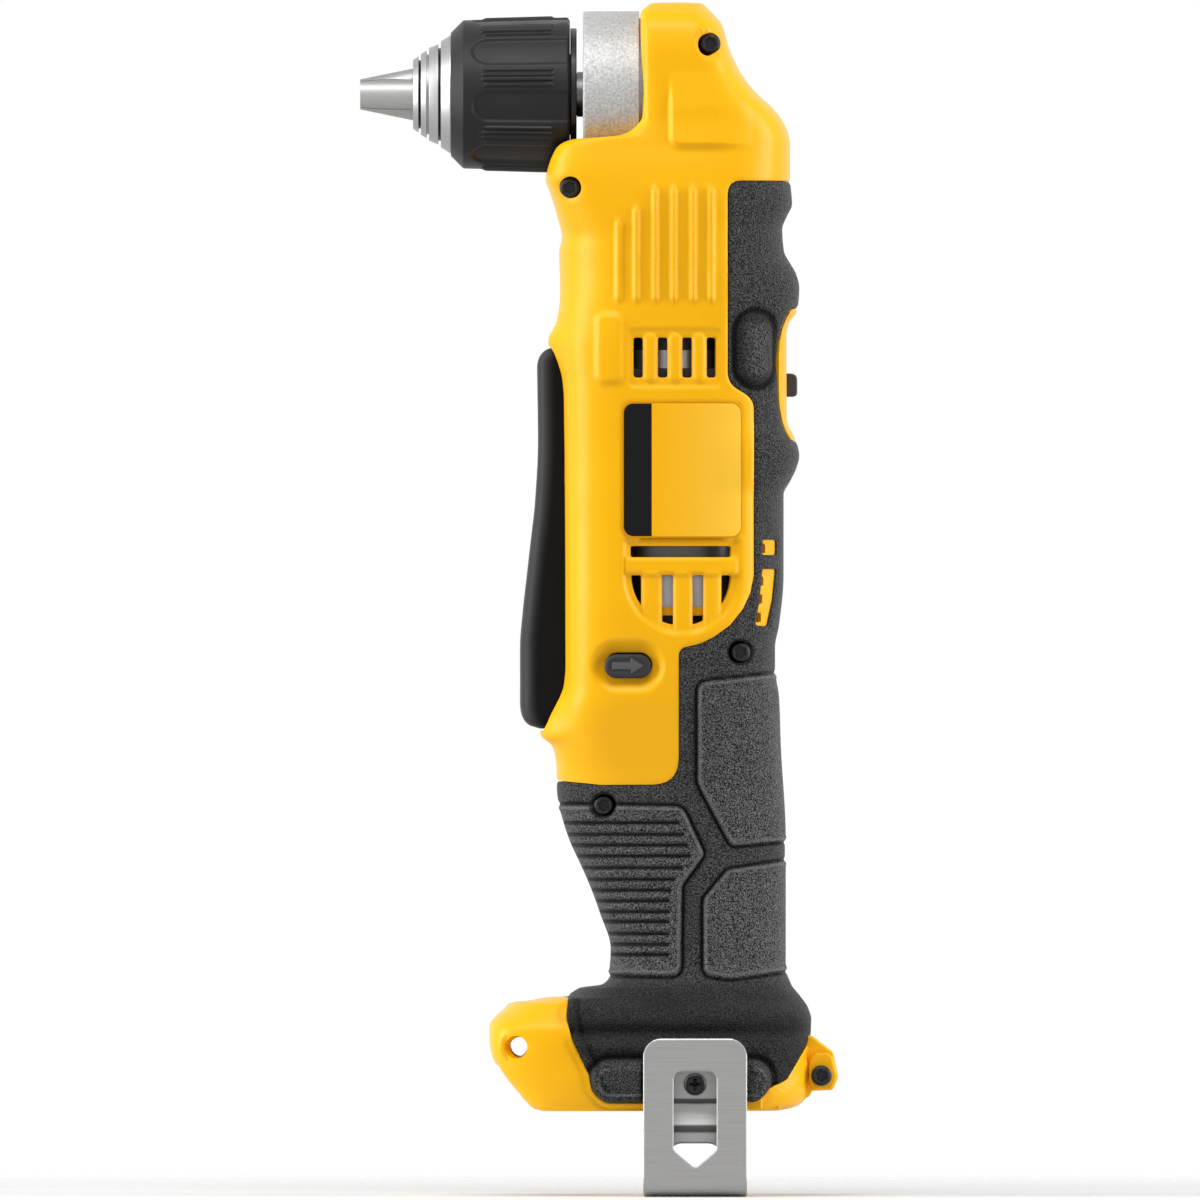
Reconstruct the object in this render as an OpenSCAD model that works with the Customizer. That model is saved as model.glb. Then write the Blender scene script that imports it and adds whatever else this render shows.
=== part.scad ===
// Right angle drill: a paddle switch hand tool with a two-speed planetary gearbox,
// a bevel gear head and a three-jaw keyless chuck. Bare tool, no battery pack.
// Frame: +Z up the handle, chuck towards -X, left half of the housing towards -Y.
// Origin: middle of the battery face under the foot, on the motor axis.

/* [Housing] */
// Thickness of the housing across the motor
body_thickness = 50; // [48:0.5:54]
// Thickness of the handle across the grip
grip_thickness = 34.8; // [33:0.2:38]
// Width of the foot across the battery rails
foot_width = 53; // [51:0.5:58]
// Thickness of the gear head across the spindle
head_thickness = 41; // [40.5:0.1:44]
// Wall of the housing halves, with the soft grip
shell_wall = 3; // [2.8:0.1:3.2]
// Thickness of the moulded-on soft grip
grip_skin = 1.2; // [0.8:0.1:1.5]
// Thickness of the side labels
label_thickness = 0.35; // [0.2:0.05:0.6]
// Height of the foot block
foot_height = 25; // [24:0.5:27]
// Length of the handle between foot and yellow body
grip_length = 47.5; // [46:0.5:52]
// Length of the trigger paddle opening
trigger_length = 85; // [82:0.5:90]
// Reach of the foot towards the front
foot_reach = 40.6; // [38:0.2:43]
// Radius of a housing screw's head
screw_head_r = 2.3; // [2:0.1:2.5]
// Radius of a housing screw's shank
screw_r = 1.4; // [1.2:0.1:1.6]
// Radius of the lanyard hole
lanyard_r = 2.55; // [1.8:0.05:3]

/* [Motor] */
// Outer radius of the motor can
can_r = 18.5; // [17.5:0.1:18.6]
// Length of the motor can
can_length = 38; // [34:0.5:39]
// Radius of the armature shaft
shaft_r = 2.5; // [2:0.1:2.6]
// Radial air gap between armature and magnets
air_gap = 0.7; // [0.5:0.1:1]

/* [Gearbox] */
// Module of the planetary gears
planet_module = 0.7; // [0.68:0.005:0.71]
// Module of the bevel gears
bevel_module = 1.1; // [1:0.02:1.12]
// Face width of the planet gears
gear_face = 8; // [6:0.5:8.5]
// Slack between meshing teeth
backlash = 0.14; // [0.1:0.01:0.2]
// Travel of the speed selector
shift_travel = 5; // [3:0.5:5]
// Outer radius of the gearbox sleeve
gearbox_r = 20; // [19.6:0.1:20.2]

/* [Chuck] */
// Outer radius of the chuck sleeve
sleeve_r = 17; // [16:0.1:17.5]
// Radius of the round jaws
jaw_r = 3.3; // [3:0.1:3.4]
// Lean of each jaw to the chuck's axis
jaw_tilt = 13.3; // [12.8:0.1:13.6]
// Length of a jaw
jaw_length = 26.5; // [22:0.5:27]
// Way that a jaw slides between closed and open
jaw_stroke = 20.5; // [16:0.5:21]
// Radius of the output spindle
spindle_r = 5; // [4.6:0.1:5.2]

/* [Controls] */
// Width of the trigger paddle
paddle_width = 22; // [18:0.5:24]
// Length of the reversing button along the body
reverse_w = 10.4; // [9:0.1:11]
// Height of the reversing button
reverse_h = 5.4; // [4.6:0.1:5.8]
// Width of the belt hook's strip
hook_width = 23; // [20:0.5:26]
// Thickness of the belt hook's strip
hook_sheet = 1.5; // [1.2:0.1:2]
// Room for a belt between the hook's leaves
hook_gap = 8; // [6:0.5:10]

/* [Hidden] */
$fn = 48;
running = 0.05;   // radial clearance of a turning or sliding fit
touch = 0.02;     // clearance of a pressed or glued fit
e = 0.5;          // overshoot of a cut past a face

// Heights along the handle
grip_top = foot_height + grip_length;
trigger_low = grip_top + 12.5;
trigger_high = trigger_low + trigger_length;
reverse_z = trigger_low + 13.8;

// Top of the motor bay: level with the paddle, or higher where the motor needs more room over the
// button's bar and the middle screw
screw_boss_r = screw_head_r + 0.3;
middle_screw_z = trigger_low + 16.9;
bell_length = 14;
fan_room = 7;
bay_over_plate = 5;
motor_stack = bell_length + can_length + fan_room + bay_over_plate;
motor_floor = max(reverse_z + reverse_h / 2, middle_screw_z + screw_boss_r) + 0.6;
bay_top = max(trigger_high, motor_floor + motor_stack);

// Heights of the drive, stacked up from the motor plate
plate_z = bay_top - bay_over_plate;
plate_t = 4;
box_z = plate_z + plate_t;
ring_len = gear_face + 2;
ring1_z = box_z + 1;
carrier1_z = ring1_z + ring_len + 0.5;
carrier_t = 3;
ring2_z = carrier1_z + carrier_t + 0.5;
carrier2_z = ring2_z + ring_len + 0.5;
case_z = ring2_z + ring_len + 9;
bearing_w = 7;
bearing_z = case_z + 1;
bevel_teeth = [12, 24];
crown_pitch_r = bevel_module * bevel_teeth[1] / 2;
pinion_pitch_r = bevel_module * bevel_teeth[0] / 2;
pinion_z = bearing_z + bearing_w + 1.8;
spindle_z = pinion_z + crown_pitch_r;
head_top = spindle_z + 20;

// Motor heights, down from the plate
fan_z = plate_z - fan_room + 1;
can_z = plate_z - fan_room - can_length;
bell_z = can_z - bell_length;

// Planetary gears: teeth of sun, planet and ring
stage1 = [12, 18, 48];
stage2 = [24, 12, 48];
pressure = 25;
addendum = 0.8;
dedendum = 1.1;
orbit1 = planet_module * (stage1[0] + stage1[1]) / 2;
orbit2 = planet_module * (stage2[0] + stage2[1]) / 2;
ring_r = gearbox_r - 1.2;
pin1_r = 2;
pin2_r = 1.5;
bevel_face = 5;
pinion_shaft_r = 4;

// Chuck stations along X, from the jaws' tips back to the rear plate
tip_x = -69.4;
nose_x = -57.6;
cone_x = -49.4;
collar_x = -46.3;
nut_x = -39.5;
nut_len = 6;
sleeve_end_x = -22.7;
chuck_end_x = -21.2;
case_nose_x = -19.8;
case_nose_r = 18.5;
nose_r = 8;
cone_r = 13.1;
jaw_slope = tan(jaw_tilt);
jaw_turn = 30;  // turns one closed jaw to the left side
function jaw_axis_r(x) = (x - tip_x) * jaw_slope;
function jaw_outer_r(x) = jaw_axis_r(x) + jaw_r / cos(jaw_tilt);

// Outline of the body: places of the front and back edges
foot_front = -foot_reach;
foot_back = 31;
skirt_front = -22.5;
grip_front = -13.4;
grip_back = 25.1;
swell_front = -25.5;
body_front = -23.9;
// the shift link clears the gearbox and the can, and the selector and the back stand off it
link_x = max(gearbox_r, can_r + 0.5) + 0.3;
selector_x = link_x + 1.2;
body_back = selector_x + 3.3;
head_front = -7;
head_back = 26.3;

front_line = [
  [0, foot_front + 10], [1.5, foot_front + 8], [4, foot_front + 5.4], [8, foot_front + 2.4],
  [12, foot_front + 0.6], [15, foot_front], [foot_height - 5.5, foot_front],
  [foot_height - 1.7, foot_front + 4], [foot_height - 1, foot_front + 5.8],
  [foot_height + 0.2, skirt_front - 1], [foot_height + 1.6, skirt_front + 1.4],
  [foot_height + 2.6, grip_front - 2.4], [foot_height + 4.5, grip_front - 0.6],
  [foot_height + 11, grip_front], [grip_top - 28.5, grip_front - 2.4],
  [grip_top - 23, grip_front - 4.4], [grip_top - 17.5, grip_front - 6.8],
  [grip_top - 12.5, grip_front - 9.1], [grip_top - 7, swell_front + 1.2],
  [grip_top - 2, swell_front], [trigger_low - 6, swell_front - 0.3],
  [trigger_low - 3.5, swell_front - 1.3], [trigger_low - 0.8, swell_front - 3.8],
  [trigger_low + 1.8, body_front - 2.4], [trigger_low + 4.4, body_front - 1.2],
  [trigger_low + 10, body_front], [trigger_high - 8, body_front - 0.4],
  [trigger_high - 3.5, body_front - 1.2], [trigger_high + 2, body_front - 3.5],
  [trigger_high + 5, body_front - 2], [bay_top + 13, body_front - 1],
  [bay_top + 21, body_front - 1.2], [bay_top + 24, body_front - 0.6],
  [bay_top + 29, body_front - 1.7], [spindle_z - 22, body_front - 3.2],
  [spindle_z - 19, body_front - 4.2], [spindle_z - 16.4, body_front - 3.7],
  [spindle_z - 13.7, body_front - 2.8], [spindle_z - 11.7, body_front - 1.7],
  [spindle_z - 10.2, body_front + 1.2], [spindle_z - 9.2, head_front - 5],
  [spindle_z - 8, head_front - 2.2], [spindle_z - 5, head_front],
  [head_top - 2, head_front], [head_top, head_front + 2]];

back_line = [
  [0, foot_back - 3], [4, foot_back - 0.5], [8, foot_back], [20, foot_back],
  [foot_height - 2.3, foot_back - 0.7], [foot_height + 0.4, foot_back - 2.5],
  [foot_height + 3, foot_back - 4.5], [foot_height + 8, grip_back],
  [grip_top - 12, grip_back], [trigger_low - 4, grip_back - 1.1],
  [trigger_low + 7, grip_back - 1.5], [trigger_low + 12, body_back - 1.9],
  [trigger_low + 18, body_back - 1.9], [trigger_low + 23, body_back - 1],
  [trigger_low + 34, body_back], [bay_top - 33, body_back],
  [bay_top - 30, body_back + 1.5], [bay_top - 27, body_back + 2.9],
  [bay_top - 24.5, body_back + 3.5], [bay_top - 21, body_back + 2.8],
  [bay_top - 16.5, body_back + 0.9], [bay_top + 2, body_back + 0.8],
  [bay_top + 5, body_back + 1.2], [bay_top + 7.6, body_back + 3],
  [bay_top + 13, body_back + 3.5], [bay_top + 16, body_back + 2.8],
  [bay_top + 18.5, body_back + 1.4], [bay_top + 21, body_back + 0.1],
  [bay_top + 26, body_back - 0.3], [bay_top + 29, body_back + 0.8],
  [spindle_z - 24.5, head_back + 0.4], [spindle_z - 19, head_back],
  [spindle_z - 11, head_back], [spindle_z - 8.4, head_back - 0.5],
  [spindle_z - 5.7, head_back - 1.8], [spindle_z - 3, head_back - 3.9],
  [spindle_z, head_back - 7.2], [spindle_z + 2.6, head_back - 9.5],
  [spindle_z + 5.2, head_back - 11.2], [spindle_z + 10.4, head_back - 13.6],
  [spindle_z + 15.6, head_back - 15.2], [head_top - 1.8, head_back - 17.4],
  [head_top, head_back - 19.2]];

// Half thickness of the body, and the squareness of its sections
foot_half = foot_width / 2;
grip_half = grip_thickness / 2;
body_half = body_thickness / 2;
head_half = head_thickness / 2;
half_line = [
  [0, foot_half - 1.2], [3, foot_half - 0.3], [8, foot_half], [14, foot_half],
  [foot_height - 5, foot_half - 1], [foot_height - 1, foot_half - 3],
  [foot_height + 1.6, grip_half + 3.8], [foot_height + 4, grip_half + 1.4],
  [foot_height + 8, grip_half], [grip_top - 24, grip_half - 0.2],
  [grip_top - 12, grip_half + 0.2], [grip_top, grip_half + 1.4],
  [trigger_low - 3, grip_half + 3.4], [trigger_low + 7, body_half - 2],
  [trigger_low + 17, body_half - 0.7], [trigger_low + 30, body_half],
  [bay_top + 2, body_half], [bay_top + 15, body_half - 0.3],
  [bay_top + 30, body_half - 0.8], [spindle_z - 17, body_half - 1.8],
  [spindle_z - 11, head_half + 1.4], [spindle_z - 5, head_half + 0.4],
  [spindle_z + 9, head_half], [spindle_z + 15, head_half - 1.2],
  [spindle_z + 18, head_half - 3.8], [head_top, head_half - 7.5]];
square_line = [
  [0, 3.6], [18, 3.6], [foot_height + 8, 2.5], [grip_top, 2.6], [trigger_low + 17, 3],
  [bay_top + 30, 3], [spindle_z - 5, 3.3], [head_top, 3.3]];
wall_line = [[0, shell_wall], [spindle_z - 21, shell_wall], [spindle_z - 13, shell_wall - 0.6]];

// Heights of the rings that the shells are drawn through
function sorted(list) = len(list) < 2 ? list : let (m = list[floor(len(list) / 2)])
  concat(sorted([for (v = list) if (v < m) v]), [m], sorted([for (v = list) if (v > m) v]));
function rings_at(base, offsets) = [for (d = offsets) base + d];
ring_heights = sorted(concat(
  [0, 1.5, 4, 8, 12, 15],
  rings_at(foot_height, [-5.5, -1.7, -1, 0.2, 1.6, 2.6, 4.5, 8, 13]),
  rings_at(grip_top, [-28.5, -23, -17.5, -12, -7, -2]),
  rings_at(trigger_low, [-6, -3.5, -0.8, 1.8, 4.4, 10, 18, 26, 34]),
  rings_at(trigger_high, [-8, -3.5, 2, 5]),
  rings_at(bay_top, [-41, -33, -30, -27, -24.5, -21, -16.5, 2, 5, 7.6, 13, 18.5, 21, 26, 29]),
  rings_at(spindle_z, [-22, -19, -16.4, -13.7, -11.7, -10.2, -9.2, -8, -5.4, -2, 2.6, 5.2, 10.4, 15.6]),
  rings_at(head_top, [-1.8, 0])));
half_steps = 14;  // facets round half a section

// Places on the left side, as [x, z]
screw_places = [[8.5, spindle_z + 11.2], [-22.7, spindle_z - 20.9],
                [15.1, middle_screw_z], [-15.1, grip_top - 4.6]];
ear_place = [33.2, 7.8];
ear_r = 4;
hook_place = [5.1, 6];
lanyard_place = [foot_front + 5.9, 14.2];
reverse_place = [-9.8, reverse_z];
label_box = [[-11.1, bay_top - 42.7], [15.6, bay_top - 12.5]];
selector_z = plate_z - 4;
pivot_place = [-20.8, trigger_high - 8.2];

// Battery slot under the foot
slot_side = 6.5;
rail_reach = 3;
slot_half = foot_half - slot_side;
rail_half = slot_half - rail_reach;
rail_t = 3;
slot_roof = 14;
slot_back = 20;

// Basic shapes

// Puts a shape drawn along +Z onto the chuck's axis, with its Z along +X
module along_spindle() translate([0, 0, spindle_z]) rotate([0, 90, 0]) children();

// Runs a side view, drawn in X and Z, across the tool from y0 to y1
module across(y0, y1) translate([0, y1, 0]) rotate([90, 0, 0]) linear_extrude(height = y1 - y0) children();

// A round bar across the tool at a place on the side view
module bar(place, r, y0, y1) across(y0, y1) translate(place) circle(r = r);

module tube(r_out, r_in, h) difference() {
  cylinder(r = r_out, h = h);
  translate([0, 0, -e]) cylinder(r = r_in, h = h + 2 * e);
}

module stadium(w, h) {
  square([w - h, h], center = true);
  for (s = [-1, 1]) translate([s * (w - h) / 2, 0]) circle(d = h);
}

module box(low, high) translate(low) cube(high - low);

function arc(centre, r, from, to, steps) = [for (i = [0:steps])
  let (a = from + (to - from) * i / steps) [centre[0] + r * cos(a), centre[1] + r * sin(a)]];

// Shell of the body

// Values of the outline at a height, moved inwards by a depth
function front_at(z, d) = d <= 0 ? lookup(z, front_line) + d
  : max(lookup(z - d, front_line), lookup(z, front_line), lookup(z + d, front_line)) + d;
function back_at(z, d) = d <= 0 ? lookup(z, back_line) - d
  : min(lookup(z - d, back_line), lookup(z, back_line), lookup(z + d, back_line)) - d;
function half_at(z, d) = d <= 0 ? lookup(z, half_line) - d
  : min(lookup(z - d, half_line), lookup(z, half_line), lookup(z + d, half_line)) - d;

// Half a section on the left side, from the back edge round to the front edge
function half_section(z, d) =
  let (f = front_at(z, d), b = back_at(z, d), h = half_at(z, d), p = 2 / lookup(z, square_line))
  [for (i = [0:half_steps]) let (c = cos(180 * i / half_steps), s = sin(180 * i / half_steps))
    [(b + f) / 2 + (b - f) / 2 * sign(c) * pow(abs(c), p), -h * pow(s, p), z]];

// Closed loft through rings with the same number of points; the end caps are convex
module loft(rings) {
  n = len(rings[0]);
  last = len(rings) - 1;
  polyhedron(
    points = [for (r = rings) each r],
    faces = concat(
      [[for (i = [0:n - 1]) n - 1 - i]],
      [for (k = [0:last - 1], i = [0:n - 1]) let (j = (i + 1) % n)
        [k * n + i, k * n + j, (k + 1) * n + j]],
      [for (k = [0:last - 1], i = [0:n - 1]) let (j = (i + 1) % n)
        [k * n + i, (k + 1) * n + j, (k + 1) * n + i]],
      [[for (i = [0:n - 1]) last * n + i]]));
}

// The left half of the body as a solid
module half_body() loft([for (z = ring_heights) half_section(z, 0)]);

// The room inside the left half, reaching a little past the parting plane and the foot's bottom
module half_room() {
  inside = [for (z = ring_heights) if (z > 1 && z < head_top - shell_wall) z];
  heights = concat([-e], inside, [head_top - shell_wall + 0.4]);
  loft([for (z = heights) let (s = half_section(max(z, 0), lookup(z, wall_line)))
    concat([[s[0][0], e, z]], [for (p = s) [p[0], p[1], z]], [[s[half_steps][0], e, z]])]);
}

// A skin of the left half between two depths, from z0 to z1
module half_skin(z0, z1, d_out, d_in) {
  heights = [for (z = ring_heights) if (z >= z0 && z <= z1) z];
  n = half_steps + 1;
  last = len(heights) - 1;
  // index of point i on ring k of the outer (w = 0) or inner (w = 1) face
  function at(k, i, w) = (k * 2 + w) * n + i;
  function quad(a, b, c, d) = [[a, b, c], [a, c, d]];
  polyhedron(
    points = [for (z = heights) each concat(half_section(z, d_out), half_section(z, d_in))],
    faces = concat(
      [for (k = [0:last - 1], i = [0:n - 2])
        each quad(at(k, i, 0), at(k, i + 1, 0), at(k + 1, i + 1, 0), at(k + 1, i, 0))],
      [for (k = [0:last - 1], i = [0:n - 2])
        each quad(at(k, i, 1), at(k + 1, i, 1), at(k + 1, i + 1, 1), at(k, i + 1, 1))],
      [for (k = [0:last - 1]) each quad(at(k, 0, 0), at(k + 1, 0, 0), at(k + 1, 0, 1), at(k, 0, 1))],
      [for (k = [0:last - 1])
        each quad(at(k, n - 1, 0), at(k, n - 1, 1), at(k + 1, n - 1, 1), at(k + 1, n - 1, 0))],
      [for (i = [0:n - 2]) each quad(at(0, i, 0), at(0, i, 1), at(0, i + 1, 1), at(0, i + 1, 0))],
      [for (i = [0:n - 2])
        each quad(at(last, i, 0), at(last, i + 1, 0), at(last, i + 1, 1), at(last, i, 1))]));
}

// Side view of the soft grip: spine, handle and skirt down to the foot
module grip_outline() polygon(concat(
  [[60, spindle_z - 19.4], [16, spindle_z - 19.4]],
  arc([16, spindle_z - 22.7], 3.3, 90, 180, 4),
  [[12.7, bay_top - 5]], arc([16.6, bay_top - 5], 3.9, 180, 250, 3),
  [[18, bay_top - 11.5], [18.7, bay_top - 14.5], [18.7, trigger_low + 34]],
  arc([2.2, trigger_low + 34], 16.5, 0, -76, 7),
  [[3.4, trigger_low + 17.2], [1.8, trigger_low + 15.5], [1.8, grip_top + 6]],
  arc([-4.2, grip_top + 6], 6, 0, -90, 4),
  [[-60, grip_top], [-60, foot_height + 1.3], [skirt_front - 0.6, foot_height + 1.3],
   [skirt_front, foot_height - 9.4], [skirt_front + 1.6, foot_height - 12.8], [skirt_front + 4.3, 6.7],
   [skirt_front + 4.7, 3.3], [skirt_front + 6.5, 1.7], [21.4, 1.7], [25.1, 6.7], [27.4, 10], [31.2, 13.4],
   [33, 17], [60, 17]]));

// Windows through the grip's spine to the back vents, and the saddle of the speed selector
module spine_windows() {
  translate([20.4, trigger_low + 38.6]) square([2.2, 3.2]);
  translate([0, trigger_low]) polygon(
    [[20.4, 34.8], [19.8, 27], [18.8, 23], [21.4, 23], [22.4, 29], [22.6, 34.8]]);
}

module saddle_outline() translate([body_back, bay_top]) polygon(
  [[35, -20.7], [0.4, -20.7], [-0.6, -17], [-1, -13], [-1, 0], [-0.6, 4], [0.4, 8], [35, 8]]);

// Openings in the side walls

module upper_vents() for (i = [0:3]) translate([-8.6 + 5.45 * i, plate_z - 2.1]) square([2.1, 8.9]);

module lower_vents() {
  translate([-9.3, trigger_low + 38]) square([22.9, 2.5]);
  intersection() {
    for (x = [-9.3, -2.2, 4.6, 11.2]) translate([x, trigger_low + 20]) square([2.4, 14]);
    union() {
      translate([2.2, trigger_low + 34]) circle(r = 11.5);
      translate([-9.3, trigger_low + 33]) square([23, 2]);
    }
  }
}

label_corner = 1.8;
module label_outline() {
  low = label_box[0];
  high = label_box[1];
  size = high - low;
  translate(low + [label_corner, 0]) square([size[0] - 2 * label_corner, size[1]]);
  translate(low + [0, label_corner]) square([size[0], size[1] - 2 * label_corner]);
  for (x = [low[0] + label_corner, high[0] - label_corner])
    for (z = [low[1] + label_corner, high[1] - label_corner])
      translate([x, z]) circle(r = label_corner);
}

// A flat rib across the left half, cut round a piece that it holds
module saddle_rib(z, t, r) difference() {
  translate([0, 0, z]) linear_extrude(height = t)
    polygon([for (p = half_section(z, lookup(z, wall_line) - 0.6)) [p[0], p[1]]]);
  translate([0, 0, z - e]) cylinder(r = r, h = t + 2 * e);
}

rib_heights = [
  [can_z + 6, can_r], [can_z + can_length - 7, can_r], [box_z + 7, gearbox_r], [case_z - 4, gearbox_r]];

// What both halves have in common: walls, ribs, bosses and battery rails
module half_frame() {
  difference() {
    half_body();
    half_room();
  }
  for (r = rib_heights) saddle_rib(r[0], 2, r[1] + running);
  for (p = screw_places) bar(p, screw_boss_r, -half_at(p[1], 1.5) * 0.86, 0);
  bar(lanyard_place, lanyard_r + 1.5, -foot_half + 7, 0);
  box([-20, -foot_half + 3.5, 0.4], [20, -rail_half, rail_t]);
  box([-20, -foot_half + 4, slot_roof], [20, 0, slot_roof + 1.6]);
  box([19, -15, slot_roof], [28.5, 0, slot_roof + 1.6]);
  box([slot_back + 2, -17.5, 0.4], [slot_back + 4, 0, slot_roof + 0.5]);
  box([hook_place[0] - 5, -foot_half + 1.5, 0.5], [hook_place[0] + 5, -slot_half, slot_roof + 0.5]);
  bar(pivot_place, 3, -paddle_width / 2 - 4.5, -paddle_width / 2 - 0.6);
  box([foot_back - 4, -14, ear_place[1] - ear_r], [ear_place[0], 0, ear_place[1] + ear_r]);
  bar(ear_place, ear_r, -14, 0);
}

// Everything that is cut out of a half
module half_cuts() {
  // seat of the soft grip, without its windows and the selector's saddle
  intersection() {
    half_skin(1.5, spindle_z - 18, -2, grip_skin);
    across(-60, 1) difference() {
      grip_outline();
      saddle_outline();
    }
  }
  intersection() {
    half_skin(trigger_low + 34, bay_top + 2, -2, label_thickness);
    across(-60, -10) label_outline();
  }
  across(-60, -15) {
    upper_vents();
    lower_vents();
  }
  across(-60, -8) for (h = [38.9, 31.6, 27.5, 23.4]) translate([19.4, trigger_low + h]) square([1.5, 2.4]);
  // gear case nose and turning chuck
  along_spindle() {
    translate([0, 0, case_nose_x - 0.2]) cylinder(r = case_nose_r + 0.1, h = head_front - case_nose_x + 0.3);
    translate([0, 0, -60]) cylinder(r = sleeve_r + 1, h = 60 + case_nose_x);
    translate([0, 0, head_front - 1]) cylinder(r = head_half - 3.4, h = 12);
  }
  // paddle opening
  box([-60, -paddle_width / 2 - 0.6, trigger_low - 1.2], [1.2 - can_r, e, trigger_high + 0.3]);
  // speed selector: window, and the link's way past the ribs
  box([20, -5.2, selector_z - 10], [60, e, selector_z + 13]);
  box([gearbox_r - 1, -4.6, selector_z], [selector_x - 0.1, e, case_z + 0.5]);
  across(-60, e) translate(reverse_place) stadium(reverse_w + 0.3, reverse_h + 0.3);
  bar(lanyard_place, lanyard_r, -60, e);
  bar(pivot_place, 1.5 + running, -paddle_width / 2 - 3, 0);
  // battery entry through the front of the foot
  box([-60, -slot_half, -e], [-20, e, 10]);
  box([-20, -slot_half, rail_t], [slot_back + 2, e, slot_roof]);
  // terminal block through the slot's roof
  box([-6.2, -13.2, slot_roof - e], [16.2, e, slot_roof + 3]);
  // work light pocket
  along_light() translate([0, 0, -7]) cylinder(r = light_r + touch, h = 20);
}

module screw_holes(shank, head_side) for (p = screw_places) {
  bar(p, shank, -60, e);
  if (head_side) bar(p, screw_head_r + 0.15, -60, 2.2 - screw_seat(p));
}

// Depth of a screw's seat from the parting plane
function screw_seat(p) = half_at(p[1], 1.5) * 0.86 - 1;

module hook_nut_hole() bar(hook_place, 3 + touch, -60, -slot_half - 1);

module left_housing() color("gold") difference() {
  half_frame();
  half_cuts();
  screw_holes(screw_r + 0.15, true);
  bar(ear_place, screw_r + 0.15, -60, e);
  hook_nut_hole();
}

module right_housing() color("gold") mirror([0, 1, 0]) difference() {
  half_frame();
  half_cuts();
  screw_holes(screw_r + touch, false);
  bar(ear_place, screw_r + touch, -60, e);
  hook_nut_hole();
}

// Soft grip, moulded onto a half
module half_grip() difference() {
  intersection() {
    half_skin(1.5, spindle_z - 18, 0, grip_skin);
    across(-60, 0) difference() {
      grip_outline();
      saddle_outline();
    }
  }
  across(-60, -2) spine_windows();
  box([-60, -paddle_width / 2 - 0.6, trigger_low - 1.2], [1.2 - can_r, e, trigger_high + 0.3]);
  for (p = screw_places) bar(p, screw_head_r + 0.15, -60, -5);
  bar(hook_place, 4, -60, -5);
}

module left_grip() color("dimgray") half_grip();
module right_grip() color("dimgray") mirror([0, 1, 0]) half_grip();

module side_label() intersection() {
  half_skin(trigger_low + 34, bay_top + 2, 0, label_thickness);
  across(-60, -10) label_outline();
}
module left_label() color("khaki") side_label();
module right_label() color("khaki") mirror([0, 1, 0]) side_label();

// Screws

// A pan head screw along +Y from its head's seat
module pan_screw(place, seat_y, length) {
  difference() {
    bar(place, screw_head_r, seat_y - 2, seat_y);
    across(seat_y - 3, seat_y - 0.8) translate(place) circle(r = 1.2, $fn = 6);
  }
  bar(place, screw_r, seat_y - 0.1, seat_y + length);
}

module housing_screws() color("#1c1c1c") {
  for (p = screw_places) let (seat = 2.2 - screw_seat(p)) pan_screw(p, seat, -seat + 8);
  pan_screw(ear_place, -14, 24);
}

// Belt hook

// Side profile of the hook in Y and Z: inner leaf, round bend, outer leaf
hook_top_z = 16.2;
hook_bottom_z = -18.9;
hook_seat_y = -foot_half - 0.1;
hook_bend_r = (hook_gap + 2 * hook_sheet) / 2;
hook_mid_y = hook_seat_y - hook_bend_r;
hook_bend_z = hook_bottom_z + hook_bend_r;

module hook_strip(x0, x1) translate([x0, 0, 0]) rotate([90, 0, 90])
  linear_extrude(height = x1 - x0) children();

// Rounded outline of the outer leaf
module hook_leaf_outline() translate([hook_place[0], 0]) {
  translate([-hook_width / 2, hook_bottom_z - e])
    square([hook_width, hook_top_z - hook_corner - hook_bottom_z + e]);
  translate([-hook_width / 2 + hook_corner, 0]) square([hook_width - 2 * hook_corner, hook_top_z]);
  for (s = [-1, 1]) translate([s * (hook_width / 2 - hook_corner), hook_top_z - hook_corner])
    circle(r = hook_corner);
}
hook_corner = 4;

module belt_hook() color("silver") difference() {
  intersection() {
    hook_strip(hook_place[0] - hook_width / 2, hook_place[0] + hook_width / 2) {
      translate([hook_seat_y - hook_sheet, hook_bend_z]) square([hook_sheet, 12 - hook_bend_z]);
      translate([hook_seat_y - 2 * hook_bend_r, hook_bend_z]) square([hook_sheet, hook_top_z - hook_bend_z]);
      intersection() {
        translate([hook_mid_y, hook_bend_z]) difference() {
          circle(r = hook_bend_r);
          circle(r = hook_bend_r - hook_sheet);
        }
        translate([hook_mid_y - hook_bend_r, hook_bend_z - hook_bend_r])
          square([2 * hook_bend_r, hook_bend_r]);
      }
    }
    across(-60, 0) hook_leaf_outline();
  }
  // screwdriver window in the outer leaf
  across(-60, hook_mid_y) translate([hook_place[0], 0]) polygon(concat(
    [[4.8, -8.5], [4.8, 6.9]], arc([2.8, 6.9], 2, 0, 90, 4), arc([-2.8, 6.9], 2, 90, 180, 4),
    [[-4.8, 6.9], [-4.8, -8.5], [-1, -12], [1, -12]]));
  // opening in the inner leaf below the foot
  across(hook_mid_y, 0) translate([hook_place[0] - 6, hook_bend_z - 0.5]) square([12, 5]);
  bar(hook_place, 2.1, -60, -20);
}

module belt_hook_screw() color("#2a2a2a") {
  difference() {
    bar(hook_place, 2.4, hook_seat_y - hook_sheet - 1.8, hook_seat_y - hook_sheet);
    across(-60, hook_seat_y - hook_sheet - 0.8) translate(hook_place) {
      square([3, 0.8], center = true);
      square([0.8, 3], center = true);
    }
  }
  bar(hook_place, 2 - touch, hook_seat_y - hook_sheet - 0.1, -slot_half - 2);
}

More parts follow.
